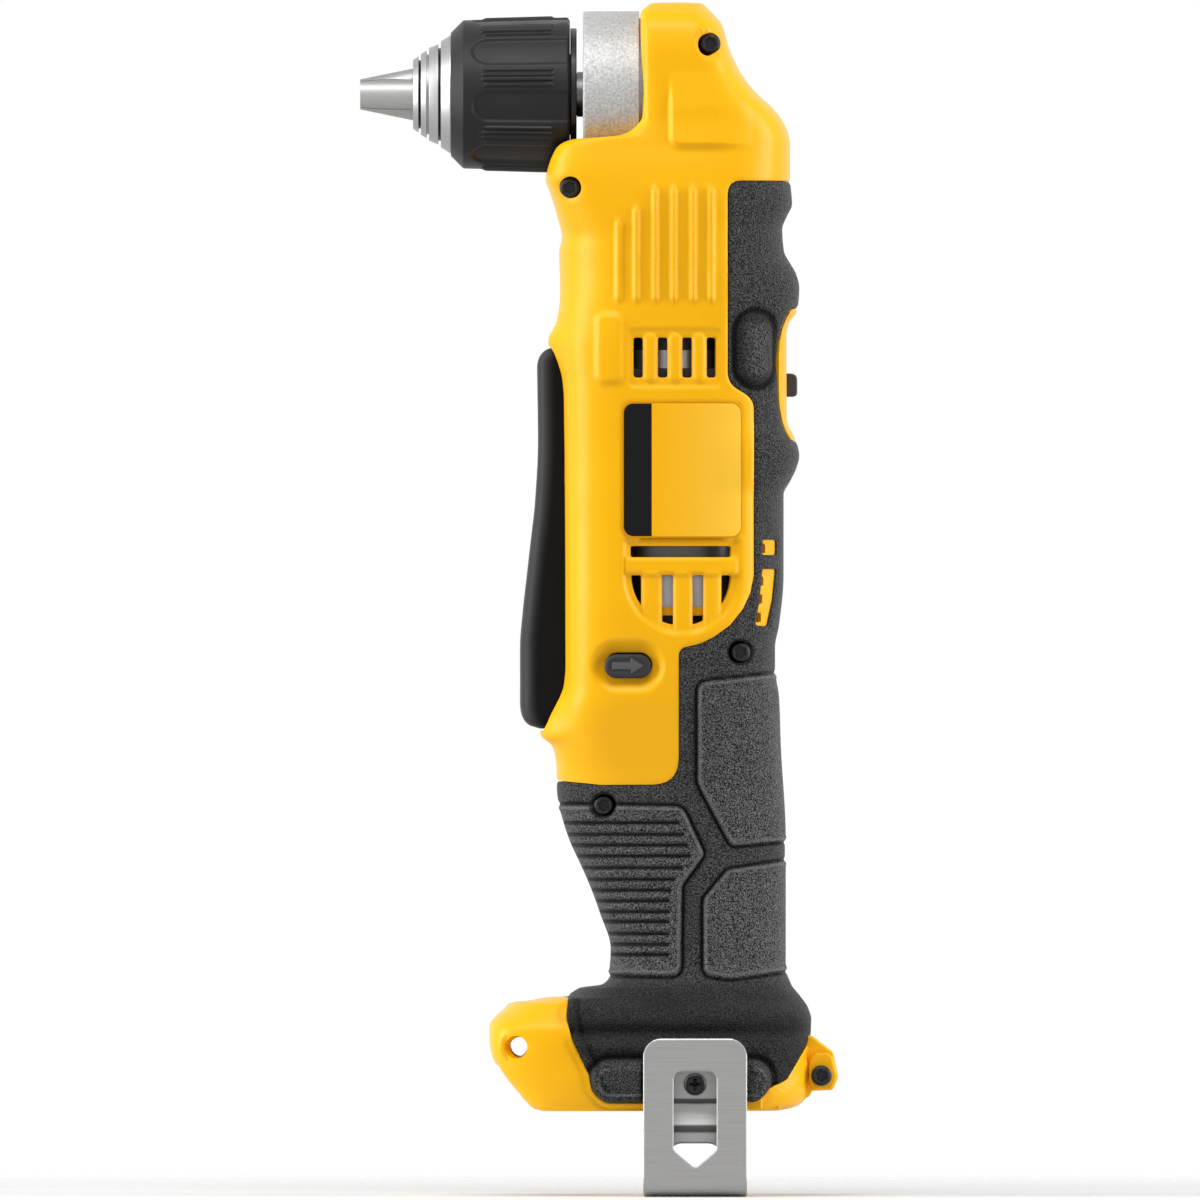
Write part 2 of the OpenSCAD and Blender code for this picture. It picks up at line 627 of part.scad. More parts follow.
module hook_nuts() color("goldenrod") for (s = [0, 1]) mirror([0, s, 0]) difference() {
  bar(hook_place, 3, -foot_half + 0.6, -slot_half - 1.2);
  bar(hook_place, 2, -60, 0);
}

// Work light in the foot's front
light_r = 3;
module along_light() translate([foot_front + 2.6, 0, foot_height - 3]) rotate([0, -48, 0]) children();

module work_light_lens() color("white") along_light() translate([0, 0, -1.4]) cylinder(r = light_r, h = 1.6);
module work_light_board() color("darkgreen") along_light() {
  translate([0, 0, -3]) cylinder(r = light_r, h = 1);
  translate([0, 0, -2.05]) cylinder(r = 1.5, h = 0.6);
}

// Battery contacts
module terminal_block() color("#303030") difference() {
  union() {
    box([-6, -13, slot_roof - 0.4], [16, 13, slot_roof + 6]);
    box([2, -11, slot_roof - 4], [16, 11, slot_roof]);
  }
  for (y = blade_places) box([-1, y - 0.4 - touch, slot_roof - 9], [12, y + 0.4 + touch, slot_roof + 3]);
}
blade_places = [-9, -4.5, 0, 4.5, 9];
module terminal_blades() color("peru") for (y = blade_places)
  box([-1 + touch, y - 0.4, slot_roof - 8.5], [12 - touch, y + 0.4, slot_roof + 2.9]);

lead_r = 0.9;
module lead(x, y, z0, z1) translate([x, y, z0]) cylinder(r = lead_r, h = z1 - z0);

module battery_leads() color("firebrick") for (y = [-5, 5]) lead(5, y, slot_roof + 6, switch_z);
module motor_leads() color("firebrick") for (y = [-7, 7]) lead(5, y, switch_top, bell_z);

// Controls
switch_z = grip_top - 14.5;
switch_top = trigger_low + 10;
plunger_z = trigger_low + 6.2;
paddle_half = paddle_width / 2;
paddle_wall = 2.5;
paddle_face_x = -33.8;

// Side view of the paddle's face
// Bow of the face, as [height along the paddle, x]
paddle_bow = [[0.86, -29.9], [0.75, -29.8], [0.59, -30.5], [0.49, -31.4], [0.4, -32.3], [0.31, -33.2],
              [0.21, paddle_face_x], [0.065, paddle_face_x]];
function up_paddle(share) = trigger_low + share * trigger_length;
paddle_face = concat(
  arc([-28.2, trigger_high - 2.6], 2, 95, 180, 4),
  [for (p = paddle_bow) [p[1], up_paddle(p[0])]],
  arc([paddle_face_x + 4.4, trigger_low + 4.7], 4.4, 180, 265, 5));

module trigger_paddle() color("#161616") difference() {
  union() {
    across(-paddle_half, paddle_half) polygon(concat(paddle_face,
      [[-27, trigger_low + 0.4], [-23, trigger_low + 5], [-21.8, trigger_low + 12],
       [-21.8, trigger_high - 9], [-22.6, trigger_high - 1.2]]));
    for (s = [0, 1]) mirror([0, s, 0]) bar(pivot_place, 3, -paddle_half, -paddle_half + 1.8);
  }
  // hollow back
  across(-paddle_half + 1.8, paddle_half - 1.8) polygon([
    [-30.8, trigger_low + 2.5], [paddle_face_x + paddle_wall, trigger_low + 3],
    [paddle_face_x + paddle_wall, up_paddle(0.21)],
    [-29, up_paddle(0.47)], [-27.4, up_paddle(0.75)], [-27.6, up_paddle(0.86)],
    [-27.4, trigger_high - 8.4], [0, trigger_high - 8.4], [0, trigger_low + 2.5]]);
  bar(pivot_place, 1.5 + running, -60, 60);
}

module trigger_pivot_pin() color("silver") bar(pivot_place, 1.5, -paddle_half - 2.9, paddle_half + 2.9);

module trigger_switch() color("#3a3a3a") difference() {
  union() {
    box([-12, -10, switch_z], [9, 10, switch_top]);
    box([-15, -6, plunger_z - 5], [-12, 6, plunger_z + 4.2]);
  }
  box([-60, -3.5 - running, plunger_z - 3 - running], [-4, 3.5 + running, plunger_z + 3 + running]);
}

module switch_plunger() color("#d8d4c4") {
  box([paddle_face_x + paddle_wall + 0.3, -3.5, plunger_z - 3], [-12.5, 3.5, plunger_z + 3]);
}

module switch_heat_sink() color("lightgray") difference() {
  box([9, -9, switch_z + 3], [11.4, 9, switch_top - 4]);
  for (y = [-6, -2, 2, 6]) box([10.2, y - 1, switch_z], [12, y + 1, switch_top]);
}

module reversing_button() color("#4c4c4c") difference() {
  across(-body_half + 1.6, body_half - 1.6) translate(reverse_place) stadium(reverse_w, reverse_h);
  for (s = [0, 1]) mirror([0, s, 0]) across(-40, -body_half + 1.9) translate(reverse_place) polygon([
    [-3.2, -0.9], [1, -0.9], [1, -1.7], [3.4, 0], [1, 1.7], [1, 0.9], [-3.2, 0.9]]);
}

// Speed selector
module selector_plate() color("gold") difference() {
  box([selector_x + 1.1, -5, selector_z - 9.8], [selector_x + 2.9, 5, selector_z + 12.8]);
  box([link_x, -2.6, selector_z - 3], [selector_x + 8, 2.6, selector_z + 3 + shift_travel]);
}
module speed_selector() color("gray") {
  box([selector_x, -4.2, selector_z - 5], [selector_x + 0.9, 4.2, selector_z + 5]);
  box([selector_x + 0.8, -2.5, selector_z - 2.4], [selector_x + 6.5, 2.5, selector_z + 2.5]);
}
groove_z = ring2_z + ring_len - 2.5;
module shift_link() color("silver") {
  box([link_x, -3.6, selector_z - 3], [selector_x - 0.3, 3.6, groove_z + 2]);
  box([selector_x - 0.4, -3, selector_z - 2.5], [selector_x - touch, 3, selector_z + 2.5]);
  translate([ring_r - 0.6, 0, groove_z]) rotate([0, 90, 0]) cylinder(r = 1.1, h = link_x - ring_r + 1);
}

// Gears

function involute(a) = tan(a) * 180 / PI - a;
// Half the angle of a tooth at a radius
function tooth_half(teeth, base, r, slack) =
  90 / teeth + involute(pressure) - (r > base ? involute(acos(base / r)) : 0) - slack;

// Outline of a gear with its first tooth at angle 0; a negative slack widens the teeth
function gear_outline(teeth, m, add, ded, slack) =
  let (pitch = m * teeth / 2, base = pitch * cos(pressure), tip = pitch + add * m, root = pitch - ded * m,
       s = slack / 2 / pitch * 180 / PI, low = max(base, root + 0.01),
       radii = concat([root], [for (i = [0:3]) low + (tip - low) * i / 3]))
  [for (t = [0:teeth - 1]) let (c = 360 * t / teeth) each concat(
    [for (r = radii) let (a = c - tooth_half(teeth, base, r, s)) r * [cos(a), sin(a)]],
    [for (i = [len(radii) - 1:-1:0]) let (r = radii[i], a = c + tooth_half(teeth, base, r, s))
      r * [cos(a), sin(a)]])];

module spur(teeth, h) linear_extrude(height = h)
  polygon(gear_outline(teeth, planet_module, addendum, dedendum, backlash / 2));

module ring_gear(teeth, h) difference() {
  cylinder(r = ring_r, h = h);
  translate([0, 0, -e]) rotate(180 / teeth) linear_extrude(height = h + 2 * e)
    polygon(gear_outline(teeth, planet_module, dedendum, addendum, -backlash / 2));
}

// A planet on its orbit, turned into mesh with a sun whose first tooth is at angle 0
module planet(stage, orbit, angle, z, bore) rotate(angle) translate([orbit, 0, z])
  rotate(180 - 180 / stage[1] + angle * stage[0] / stage[1]) difference() {
    spur(stage[1], gear_face);
    translate([0, 0, -e]) cylinder(r = bore, h = gear_face + 2 * e);
  }

module first_planet(i) color("lightsteelblue")
  planet(stage1, orbit1, 120 * i, ring1_z + 1, pin1_r + running);
module second_planet(i) color("lightsteelblue")
  planet(stage2, orbit2, 120 * i, ring2_z + 1, pin2_r + running);

module first_ring_gear() color("slategray") translate([0, 0, ring1_z]) ring_gear(stage1[2], ring_len);

module shift_ring() color("slategray") difference() {
  translate([0, 0, ring2_z]) ring_gear(stage2[2], ring_len);
  translate([0, 0, groove_z - 1.3]) tube(ring_r + 1, ring_r - 0.7, 2.6);
}

module first_carrier() color("slategray") {
  translate([0, 0, carrier1_z]) difference() {
    cylinder(r = 15.2, h = carrier_t);
    translate([0, 0, -e]) cylinder(r = 5, h = 2);
  }
  for (i = [0:2]) rotate(120 * i) translate([orbit1, 0, ring1_z + 0.6])
    cylinder(r = pin1_r, h = carrier1_z - ring1_z);
  translate([0, 0, carrier1_z + carrier_t - 0.1]) spur(stage2[0], ring_len + 0.2);
}

module second_carrier() color("slategray") {
  translate([0, 0, carrier2_z]) cylinder(r = 15.6, h = carrier_t + 0.5);
  for (i = [0:2]) rotate(120 * i) translate([orbit2, 0, ring2_z + 0.6])
    cylinder(r = pin2_r, h = carrier2_z - ring2_z);
  translate([0, 0, carrier2_z + carrier_t])
    cylinder(r = pinion_shaft_r, h = bearing_z + bearing_w - carrier2_z - carrier_t);
  translate([0, 0, bearing_z - 1.6]) cylinder(r = 5.4, h = 1.5);
  translate([0, 0, bearing_z]) cylinder(r = pinion_bore, h = pinion_z + 3.6 - bearing_z);
}
pinion_bore = 2.6;

module bevel_pinion() color("lightsteelblue") difference() {
  translate([0, 0, spindle_z]) rotate([180, 0, 0])
    bevel_gear(bevel_teeth[0], bevel_teeth[1], 0, pinion_z - bearing_z - bearing_w - 0.1);
  translate([0, 0, bearing_z]) cylinder(r = pinion_bore + touch, h = 30);
}

// Straight bevel gear, its apex at the origin and its teeth along +Z. Each tooth lies on a back cone and
// shrinks towards the apex. hub is how far the blank reaches behind the pitch circle.
module bevel_gear(teeth, mate, phase, hub) {
  cone = atan2(teeth, mate);
  pitch_r = bevel_module * teeth / 2;
  reach = pitch_r / sin(cone);
  shrink = (reach - bevel_face) / reach;
  round_teeth = teeth / cos(cone);
  virtual_r = bevel_module * round_teeth / 2;
  base = virtual_r * cos(pressure);
  tip = virtual_r + addendum * bevel_module;
  root = virtual_r - dedendum * bevel_module;
  slack = (backlash + 0.06) / 2 / virtual_r * 180 / PI;
  low = max(base, root + 0.01);
  radii = [root, low, (low + tip) / 2, tip];
  // a point of the back cone's profile, as radius and height from the apex
  function on_cone(r) = [pitch_r + (r - virtual_r) * cos(cone),
                         pitch_r / tan(cone) - (r - virtual_r) * sin(cone)];
  function around(r, a, k) = let (p = on_cone(r)) [k * p[0] * cos(a), k * p[0] * sin(a), k * p[1]];
  // half a tooth's angle, a little wider at the root
  function half(r) =
    tooth_half(round_teeth, base, r, slack) * round_teeth / teeth + (r == root ? 8 / teeth : 0);
  function rim(k) = [for (t = [0:teeth - 1]) let (c = phase + 360 * t / teeth) each concat(
    [for (r = radii) around(r, c - half(r), k)],
    [for (i = [3:-1:0]) around(radii[i], c + half(radii[i]), k)])];
  n = 8 * teeth;
  back_z = pitch_r / tan(cone) + hub;
  root_r = on_cone(root)[0];
  polyhedron(
    points = concat(rim(shrink), rim(1),
      [for (p = rim(1)) let (a = atan2(p[1], p[0])) [root_r * cos(a), root_r * sin(a), back_z]],
      [[0, 0, shrink * on_cone(root)[1]], [0, 0, back_z]]),
    faces = concat(
      [for (i = [0:n - 1]) let (j = (i + 1) % n) [3 * n, j, i]],
      [for (i = [0:n - 1]) let (j = (i + 1) % n) [i, j, n + j]],
      [for (i = [0:n - 1]) let (j = (i + 1) % n) [i, n + j, n + i]],
      [for (i = [0:n - 1]) let (j = (i + 1) % n) [n + i, n + j, 2 * n + j]],
      [for (i = [0:n - 1]) let (j = (i + 1) % n) [n + i, 2 * n + j, 2 * n + i]],
      [for (i = [0:n - 1]) let (j = (i + 1) % n) [3 * n + 1, 2 * n + i, 2 * n + j]]));
}

module bevel_crown_gear() color("slategray") difference() {
  translate([0, 0, spindle_z]) rotate([0, -90, 0])
    bevel_gear(bevel_teeth[1], bevel_teeth[0], 180 / bevel_teeth[1], 4.2);
  along_spindle() translate([0, 0, -30]) cylinder(r = spindle_r + touch, h = 60);
}

// Gear case: right angle head of cast aluminium
nose_bearing_x = -19;
nose_bearing_r = 13;
rear_bush_x = 4.4;
rear_bush_len = 4.4;
module gear_case() color("lightgray") difference() {
  union() {
    along_spindle() {
      translate([0, 0, case_nose_x]) cylinder(r = case_nose_r, h = head_front - 0.3 - case_nose_x);
      translate([0, 0, head_front - 0.4]) cylinder(r = head_half - 3.5, h = 11.4);
      translate([0, 0, 3.8]) cylinder(r = 8, h = 5.6);
    }
    translate([0, 0, case_z]) cylinder(r = head_half - 2.6, h = bearing_w + 2.5);
    translate([0, 0, case_z]) cylinder(r = 11.5, h = spindle_z - case_z - 4);
    translate([0, 0, case_z]) cylinder(r = gearbox_r - 0.5, h = 3);
  }
  along_spindle() {
    translate([0, 0, nose_bearing_x - 10]) cylinder(r = nose_bearing_r + touch, h = 10 + bearing_w + 0.05);
    translate([0, 0, -13]) cylinder(r = 9, h = 3);
    translate([0, 0, -11.2]) cylinder(r = 14.6, h = 13);
    translate([0, 0, 0]) cylinder(r = 6 + touch, h = 20);
  }
  translate([0, 0, bearing_z + bearing_w]) cylinder(r = 9, h = spindle_z - bearing_z - bearing_w);
  translate([0, 0, case_z - e]) cylinder(r = 11 + touch, h = bearing_z + bearing_w - case_z + e);
}

// Ball bearings of the pinion and the nose, and the bronze bush behind the spindle
module bearings() color("lightgray") {
  translate([0, 0, bearing_z]) tube(11, pinion_shaft_r + running, bearing_w - 0.1);
  along_spindle() {
    translate([0, 0, nose_bearing_x]) tube(nose_bearing_r, spindle_r + running, bearing_w);
    translate([0, 0, rear_bush_x]) tube(6, 4 + running, rear_bush_len);
  }
}

module gearbox_sleeve() color("#2b2b2b") difference() {
  translate([0, 0, box_z]) tube(gearbox_r, ring_r + touch, case_z - box_z);
  box([ring_r - 2, -1.3, groove_z - 1.5], [gearbox_r + 2, 1.3, groove_z + shift_travel + 1.5]);
}

module motor_mount_plate() color("silver") translate([0, 0, plate_z]) difference() {
  tube(gearbox_r, 5.5, plate_t);
  for (s = [-1, 1]) translate([0, 12 * s, -e]) cylinder(r = 1.6, h = plate_t + 2 * e);
}

// Motor
module motor_can() color("silver") translate([0, 0, can_z]) tube(can_r, can_r - 1.5, can_length);
module motor_front_plate() color("silver") translate([0, 0, can_z + can_length - 2])
  tube(can_r - 1.5 - touch, shaft_r + running, 2);
magnet_in = can_r - 4.6;
core_r = magnet_in - air_gap;
module motor_magnets() color("#404048") for (s = [0, 180]) rotate(s - 62) translate([0, 0, can_z + 3])
  rotate_extrude(angle = 124) translate([magnet_in, 0])
    square([can_r - 1.5 - touch - magnet_in, can_length - 8]);

module motor_end_bell() color("#252525") translate([0, 0, bell_z]) difference() {
  tube(can_r - 0.5, can_r - 2.5, can_z - bell_z);
  for (s = [-1, 1]) for (x = [-6, 6]) translate([x - 2, s > 0 ? 8 : -28, 3]) cube([4, 20, 8]);
}

brush_z = bell_z + 5;
module bell_floor() translate([0, 0, bell_z]) tube(can_r - 2.5 - touch, shaft_r + running, 2);
module brush_holders() color("goldenrod") {
  bell_floor();
  for (s = [0, 180]) rotate(s) difference() {
    translate([-2.6, comm_r + 0.8, bell_z + 1.9]) cube([5.2, can_r - 3.7 - comm_r, 7.4]);
    translate([-1.8, 0, brush_z - 1.8]) cube([3.6, 40, 3.6]);
  }
}
comm_r = 4.6;
module carbon_brushes() color("#202020") for (s = [0, 180]) rotate(s)
  translate([-1.75, comm_r + 0.1, brush_z - 1.75]) cube([3.5, 6.5, 3.5]);
module brush_springs() color("silver") for (s = [0, 180]) rotate(s)
  translate([0, comm_r + 6.7, brush_z]) rotate([-90, 0, 0]) tube(1.6, 1.1, can_r - 3.3 - comm_r - 6.8);

module armature_shaft() color("lightgray") translate([0, 0, bell_z - 1])
  cylinder(r = shaft_r, h = ring1_z + ring_len - bell_z);
armature_slots = 10;
module armature_core() color("slategray") translate([0, 0, can_z + 5]) difference() {
  cylinder(r = core_r, h = can_length - 12);
  for (i = [0:armature_slots - 1]) rotate(360 * i / armature_slots) {
    translate([core_r - 4, 0, -e]) cylinder(r = 1.6, h = can_length);
    translate([core_r - 4, -0.7, -e]) cube([6, 1.4, can_length]);
  }
  translate([0, 0, -e]) cylinder(r = shaft_r + touch, h = can_length);
}
module armature_windings() color("chocolate") {
  for (z = [can_z + 1.6, can_z + can_length - 6.9])
    translate([0, 0, z]) tube(core_r - 1.6, shaft_r + touch, 3.3);
  for (i = [0:armature_slots - 1]) rotate(360 * i / armature_slots)
    translate([core_r - 4, 0, can_z + 4]) cylinder(r = 1.4, h = can_length - 10);
}
module commutator() color("peru") translate([0, 0, bell_z + 2.2]) difference() {
  tube(comm_r, shaft_r + touch, can_z + 1.4 - bell_z - 2.2);
  for (i = [0:armature_slots - 1]) rotate(360 * i / armature_slots)
    translate([comm_r - 0.7, -0.2, -e]) cube([3, 0.4, 40]);
}
fan_blades = 12;
module cooling_fan() color("#303030") translate([0, 0, fan_z]) {
  tube(7, shaft_r + touch, 5);
  tube(can_r - 1, 6, 1);
  for (i = [0:fan_blades - 1]) rotate(360 * i / fan_blades)
    translate([6.5, -0.6, 0.5]) cube([can_r - 8, 1.2, 4.2]);
}
module motor_pinion() color("lightgray") translate([0, 0, ring1_z + 0.4]) difference() {
  spur(stage1[0], ring_len - 0.6);
  translate([0, 0, -e]) cylinder(r = shaft_r + touch, h = 40);
}

// Output spindle and chuck
module output_spindle() color("silver") along_spindle() {
  translate([0, 0, -34]) cylinder(r = spindle_r - 0.3, h = 14);
  translate([0, 0, chuck_end_x + 0.1]) cylinder(r = spindle_r, h = 3.9 - chuck_end_x);
  translate([0, 0, 3.8]) cylinder(r = 4, h = rear_bush_x + rear_bush_len - 3.8);
}

module chuck_profile(points) rotate_extrude() polygon([for (p = points) [p[1], p[0]]]);

module jaw_axis(i)
  along_spindle() rotate(jaw_turn + 120 * i) translate([0, 0, tip_x]) rotate([0, jaw_tilt, 0]) children();

chuck_thread_x = -35;
module chuck_body() color("silver") difference() {
  along_spindle() chuck_profile([[nose_x, 0], [nose_x, nose_r],
    [nose_x + 1.6, nose_r + 0.7], [nose_x + 1.6, nose_r + 1.3], [nose_x + 3.4, nose_r + 2.1],
    [nose_x + 3.4, nose_r + 2.7], [nose_x + 5.4, nose_r + 3.4], [nose_x + 5.4, nose_r + 3.9],
    [cone_x, cone_r], [collar_x + 0.8, cone_r],
    [collar_x + 0.8, sleeve_bore - 0.08], [nut_x - 0.6, sleeve_bore - 0.08],
    [nut_x - 0.6, nut_low_r - 0.5], [nut_x + nut_len + 0.6, nut_low_r - 0.5], [nut_x + nut_len + 0.6, 13.4],
    [-24, 13.4], [-24, 9], [chuck_end_x - 1.4, 9], [chuck_end_x - 1.4, 14.7], [chuck_end_x, 14.7],
    [chuck_end_x, 0]]);
  for (i = [0:2]) jaw_axis(i) translate([0, 0, -1])
    cylinder(r = jaw_r + running, h = jaw_length + jaw_stroke + 1.3);
  along_spindle() {
    translate([0, 0, -80]) cylinder(r = 5, h = 80 - 41);
    translate([0, 0, chuck_thread_x]) cylinder(r = spindle_r - 0.3 + touch, h = 40);
  }
}
sleeve_bore = 15;
nut_low_r = jaw_outer_r(nut_x) + 0.15;

module chuck_sleeve() color("#1e1e1e") difference() {
  along_spindle() chuck_profile([[cone_x + 0.2, cone_r + 0.15], [cone_x + 0.2, cone_r + 0.6],
    [collar_x, sleeve_r - 0.2], [collar_x + 0.6, sleeve_r],
    [sleeve_end_x - 0.5, sleeve_r], [sleeve_end_x, sleeve_r - 0.5], [sleeve_end_x, sleeve_bore],
    [nut_x + nut_len, sleeve_bore], [nut_x + nut_len, jaw_outer_r(nut_x + nut_len) + 0.15],
    [nut_x, nut_low_r], [nut_x, sleeve_bore], [collar_x + 0.3, sleeve_bore],
    [collar_x + 0.3, cone_r + 0.15]]);
  for (i = [0:7]) along_spindle() rotate(45 * i) translate([sleeve_r + 5.2, 0, collar_x + 4])
    cylinder(r = 6, h = 40);
}

module chuck_jaw(i) color("silver") intersection() {
  jaw_axis(i) cylinder(r = jaw_r, h = jaw_length);
  along_spindle() rotate(jaw_turn + 120 * i) translate([0.1, 0, tip_x]) linear_extrude(height = 60)
    polygon([[0, 0], [30, -30 * tan(60)], [30, 30 * tan(60)]]);
  along_spindle() translate([0, 0, tip_x + 0.05]) cylinder(r = 30, h = 80);
}

left_housing();
right_housing();
left_grip();
right_grip();
left_label();
right_label();
housing_screws();
belt_hook();
belt_hook_screw();
hook_nuts();
work_light_lens();
work_light_board();
terminal_block();
terminal_blades();
battery_leads();
motor_leads();
trigger_paddle();
trigger_pivot_pin();
trigger_switch();
switch_plunger();
switch_heat_sink();
reversing_button();
selector_plate();
speed_selector();
shift_link();
shift_ring();
motor_can();
motor_magnets();
motor_end_bell();
motor_front_plate();
brush_holders();
carbon_brushes();
brush_springs();
armature_shaft();
armature_core();
armature_windings();
commutator();
cooling_fan();
motor_pinion();
motor_mount_plate();
gearbox_sleeve();
first_ring_gear();
first_carrier();
first_planet(0);  // first_planet_a
first_planet(1);  // first_planet_b
first_planet(2);  // first_planet_c
second_carrier();
bevel_pinion();
second_planet(0);  // second_planet_a
second_planet(1);  // second_planet_b
second_planet(2);  // second_planet_c
gear_case();
bearings();
bevel_crown_gear();
output_spindle();
chuck_body();
chuck_sleeve();
chuck_jaw(0);  // chuck_jaw_a
chuck_jaw(1);  // chuck_jaw_b
chuck_jaw(2);  // chuck_jaw_c
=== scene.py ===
import math

import bmesh
import bpy
import numpy as np
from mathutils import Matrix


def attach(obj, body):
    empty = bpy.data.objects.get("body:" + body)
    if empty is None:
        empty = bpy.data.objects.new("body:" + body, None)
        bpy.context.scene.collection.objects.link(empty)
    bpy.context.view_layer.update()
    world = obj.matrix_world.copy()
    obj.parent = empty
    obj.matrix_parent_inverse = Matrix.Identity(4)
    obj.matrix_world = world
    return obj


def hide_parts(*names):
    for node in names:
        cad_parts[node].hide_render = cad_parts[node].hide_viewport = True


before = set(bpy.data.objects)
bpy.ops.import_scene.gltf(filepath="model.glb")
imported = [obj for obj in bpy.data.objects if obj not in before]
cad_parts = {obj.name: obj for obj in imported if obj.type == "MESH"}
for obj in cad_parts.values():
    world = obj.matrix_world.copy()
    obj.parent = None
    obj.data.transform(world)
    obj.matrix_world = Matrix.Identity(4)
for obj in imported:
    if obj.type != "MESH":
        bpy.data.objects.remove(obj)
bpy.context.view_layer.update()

# Housing halves: two injection-moulded shells of yellow glass-filled nylon that meet on the
# motor's centre plane and are screwed together from the left. Each is drawn as one skin over the
# tool's side view, with its vents, ribs and recesses, and then given its wall.

MM = 0.001
tool_top = 246
sides = ("left", "right")


def smooth_line(pairs):
    """Smooth line through (height, value) pairs that never overshoots them."""
    z, v = np.array(pairs, float).T
    h = np.diff(z)
    d = np.diff(v) / h
    m = np.zeros_like(v)
    m[0], m[-1] = d[0], d[-1]
    for i in range(1, len(z) - 1):
        if d[i - 1] * d[i] > 0:
            w1, w2 = 2 * h[i] + h[i - 1], h[i] + 2 * h[i - 1]
            m[i] = (w1 + w2) / (w1 / d[i - 1] + w2 / d[i])

    def at(q):
        q = np.clip(q, z[0], z[-1])
        i = np.clip(np.searchsorted(z, q) - 1, 0, len(z) - 2)
        t = (q - z[i]) / h[i]
        return ((1 + 2 * t) * (1 - t) ** 2 * v[i] + t * (1 - t) ** 2 * h[i] * m[i]
                + t * t * (3 - 2 * t) * v[i + 1] + t * t * (t - 1) * h[i] * m[i + 1])
    return at


# side view and half width by height, and how square the section is behind and in front
front_at = smooth_line([
    (0, -29.4), (0.6, -31.6), (1.8, -32.9), (5.7, -36.1), (8, -38), (10.7, -39.4), (13.2, -40.3),
    (15.7, -40.6), (19, -40.6), (20.5, -39.6), (22.6, -37.2), (24, -35.3), (24.7, -31.5), (25.2, -27.5),
    (25.6, -23.6),
    (26.3, -22), (27.2, -20.4), (27.9, -15.6), (29.5, -14), (36, -13.4), (44, -15.8), (49.5, -17.8),
    (55, -20.2), (60, -22.5), (65.5, -24.3), (70.5, -25.5), (79, -25.8), (84, -26), (89.4, -25.1),
    (95, -23.9), (162, -24.3), (166.5, -24.7), (172, -25.2), (175, -25.2), (183, -24.9), (191, -25.1),
    (194, -24.5), (199, -25.6), (204, -27.1), (207, -28.1), (209.6, -27.6), (212.3, -26.7), (214.3, -25.6),
    (215.8, -22.7), (216.8, -12), (218, -9.2), (221, -7), (244, -7), (246, -5)])
back_at = smooth_line([
    (0, 24), (0.8, 27.4), (2.4, 29.6), (4, 30.5), (8, 31), (20, 31), (22.7, 30.3), (25.4, 28.5), (28, 26.5),
    (33, 25.1), (60.5, 25.1), (81, 24), (92, 23.6), (97, 22.9), (103, 22.9), (108, 23.8), (119, 24.8),
    (137, 24.8), (140, 26.3), (143, 27.7), (145.5, 28.3), (149, 27.6), (153.5, 25.7), (172, 25.6), (175, 26),
    (177.6, 27.8), (183, 28.3), (186, 27.6), (188.5, 26.2), (191, 24.9), (196, 24.5), (199, 25.6),
    (201.5, 26.7), (207, 26.3), (215, 26.3), (217.6, 25.8), (220.3, 24.5), (223, 22.4), (226, 19.1),
    (228.6, 16.8), (231.2, 15.1), (236.4, 12.7), (241.6, 11.1), (244.2, 8.9), (246, 7.1)])
middle_at = smooth_line([(q, (front_at(q) + back_at(q)) / 2) for q in np.arange(0, 208, 2.0)]
                        + [(226, 5), (246, 1)])
half_at = smooth_line([
    (0, 25.3), (3, 26.2), (8, 26.5), (18, 26.5), (18.7, 26.2), (20.8, 24.9), (24, 22.7), (26.6, 20.8),
    (29, 18.8), (33, 17.4), (48.5, 17.2), (60.5, 17.6), (72.5, 18.8), (82, 20.8), (92, 23), (102, 24.3),
    (115, 25), (172, 25), (185, 24.7), (200, 24.2), (209, 23.2), (215, 21.9), (221, 20.9), (235, 20.5),
    (241, 19.3), (244, 16.7), (246, 13)])
back_square_at = smooth_line([(0, 3.6), (18, 3.6), (33, 2.5), (72.5, 2.6), (102, 3), (200, 3), (221, 3.3),
                              (246, 3.3)])
front_square_at = smooth_line([
    (0, 8), (14, 8), (22, 5), (33, 2.5), (72.5, 2.6), (82, 3.6), (92, 4.6), (166, 4.6), (176, 3.8),
    (190, 3.2), (203, 4.5), (212, 7), (221, 10), (246, 10)])


def body_skin(z, turn):
    """Left half of the body's skin, in mm; turn runs from the back seam, 0, to the front seam, pi."""
    c, s = np.cos(turn), np.sin(turn)
    a = np.where(c > 0, back_at(z) - middle_at(z), middle_at(z) - front_at(z))
    n = np.where(c > 0, back_square_at(z), front_square_at(z))
    r = (np.abs(c / a) ** n + np.abs(s / half_at(z)) ** n) ** (-1 / n)
    return middle_at(z) + r * c, -r * s


def even_steps(low, high, pace, step):
    """Places between low and high, a step apart as measured by the pace at each place."""
    q = np.linspace(low, high, 4001)
    p = pace(q)
    way = np.concatenate([[0], np.cumsum((p[1:] + p[:-1]) / 2 * np.diff(q))])
    return np.interp(np.linspace(0, way[-1], int(way[-1] / step) + 2), way, q)


def row_pace(z):
    """Rows lie closer on slopes, on the ribbed handle and round the vents."""
    slope = np.max(np.abs([np.gradient(line(z), z) for line in (front_at, back_at, half_at)]), axis=0)
    handle = (z > 29) & (z < 70)
    vents = ((z > 95) & (z < 127.5)) | ((z > 157) & (z < 178))
    return np.maximum(np.where(handle, 1.6, np.where(vents, 1.15, 0.8)), np.minimum(slope, 7))


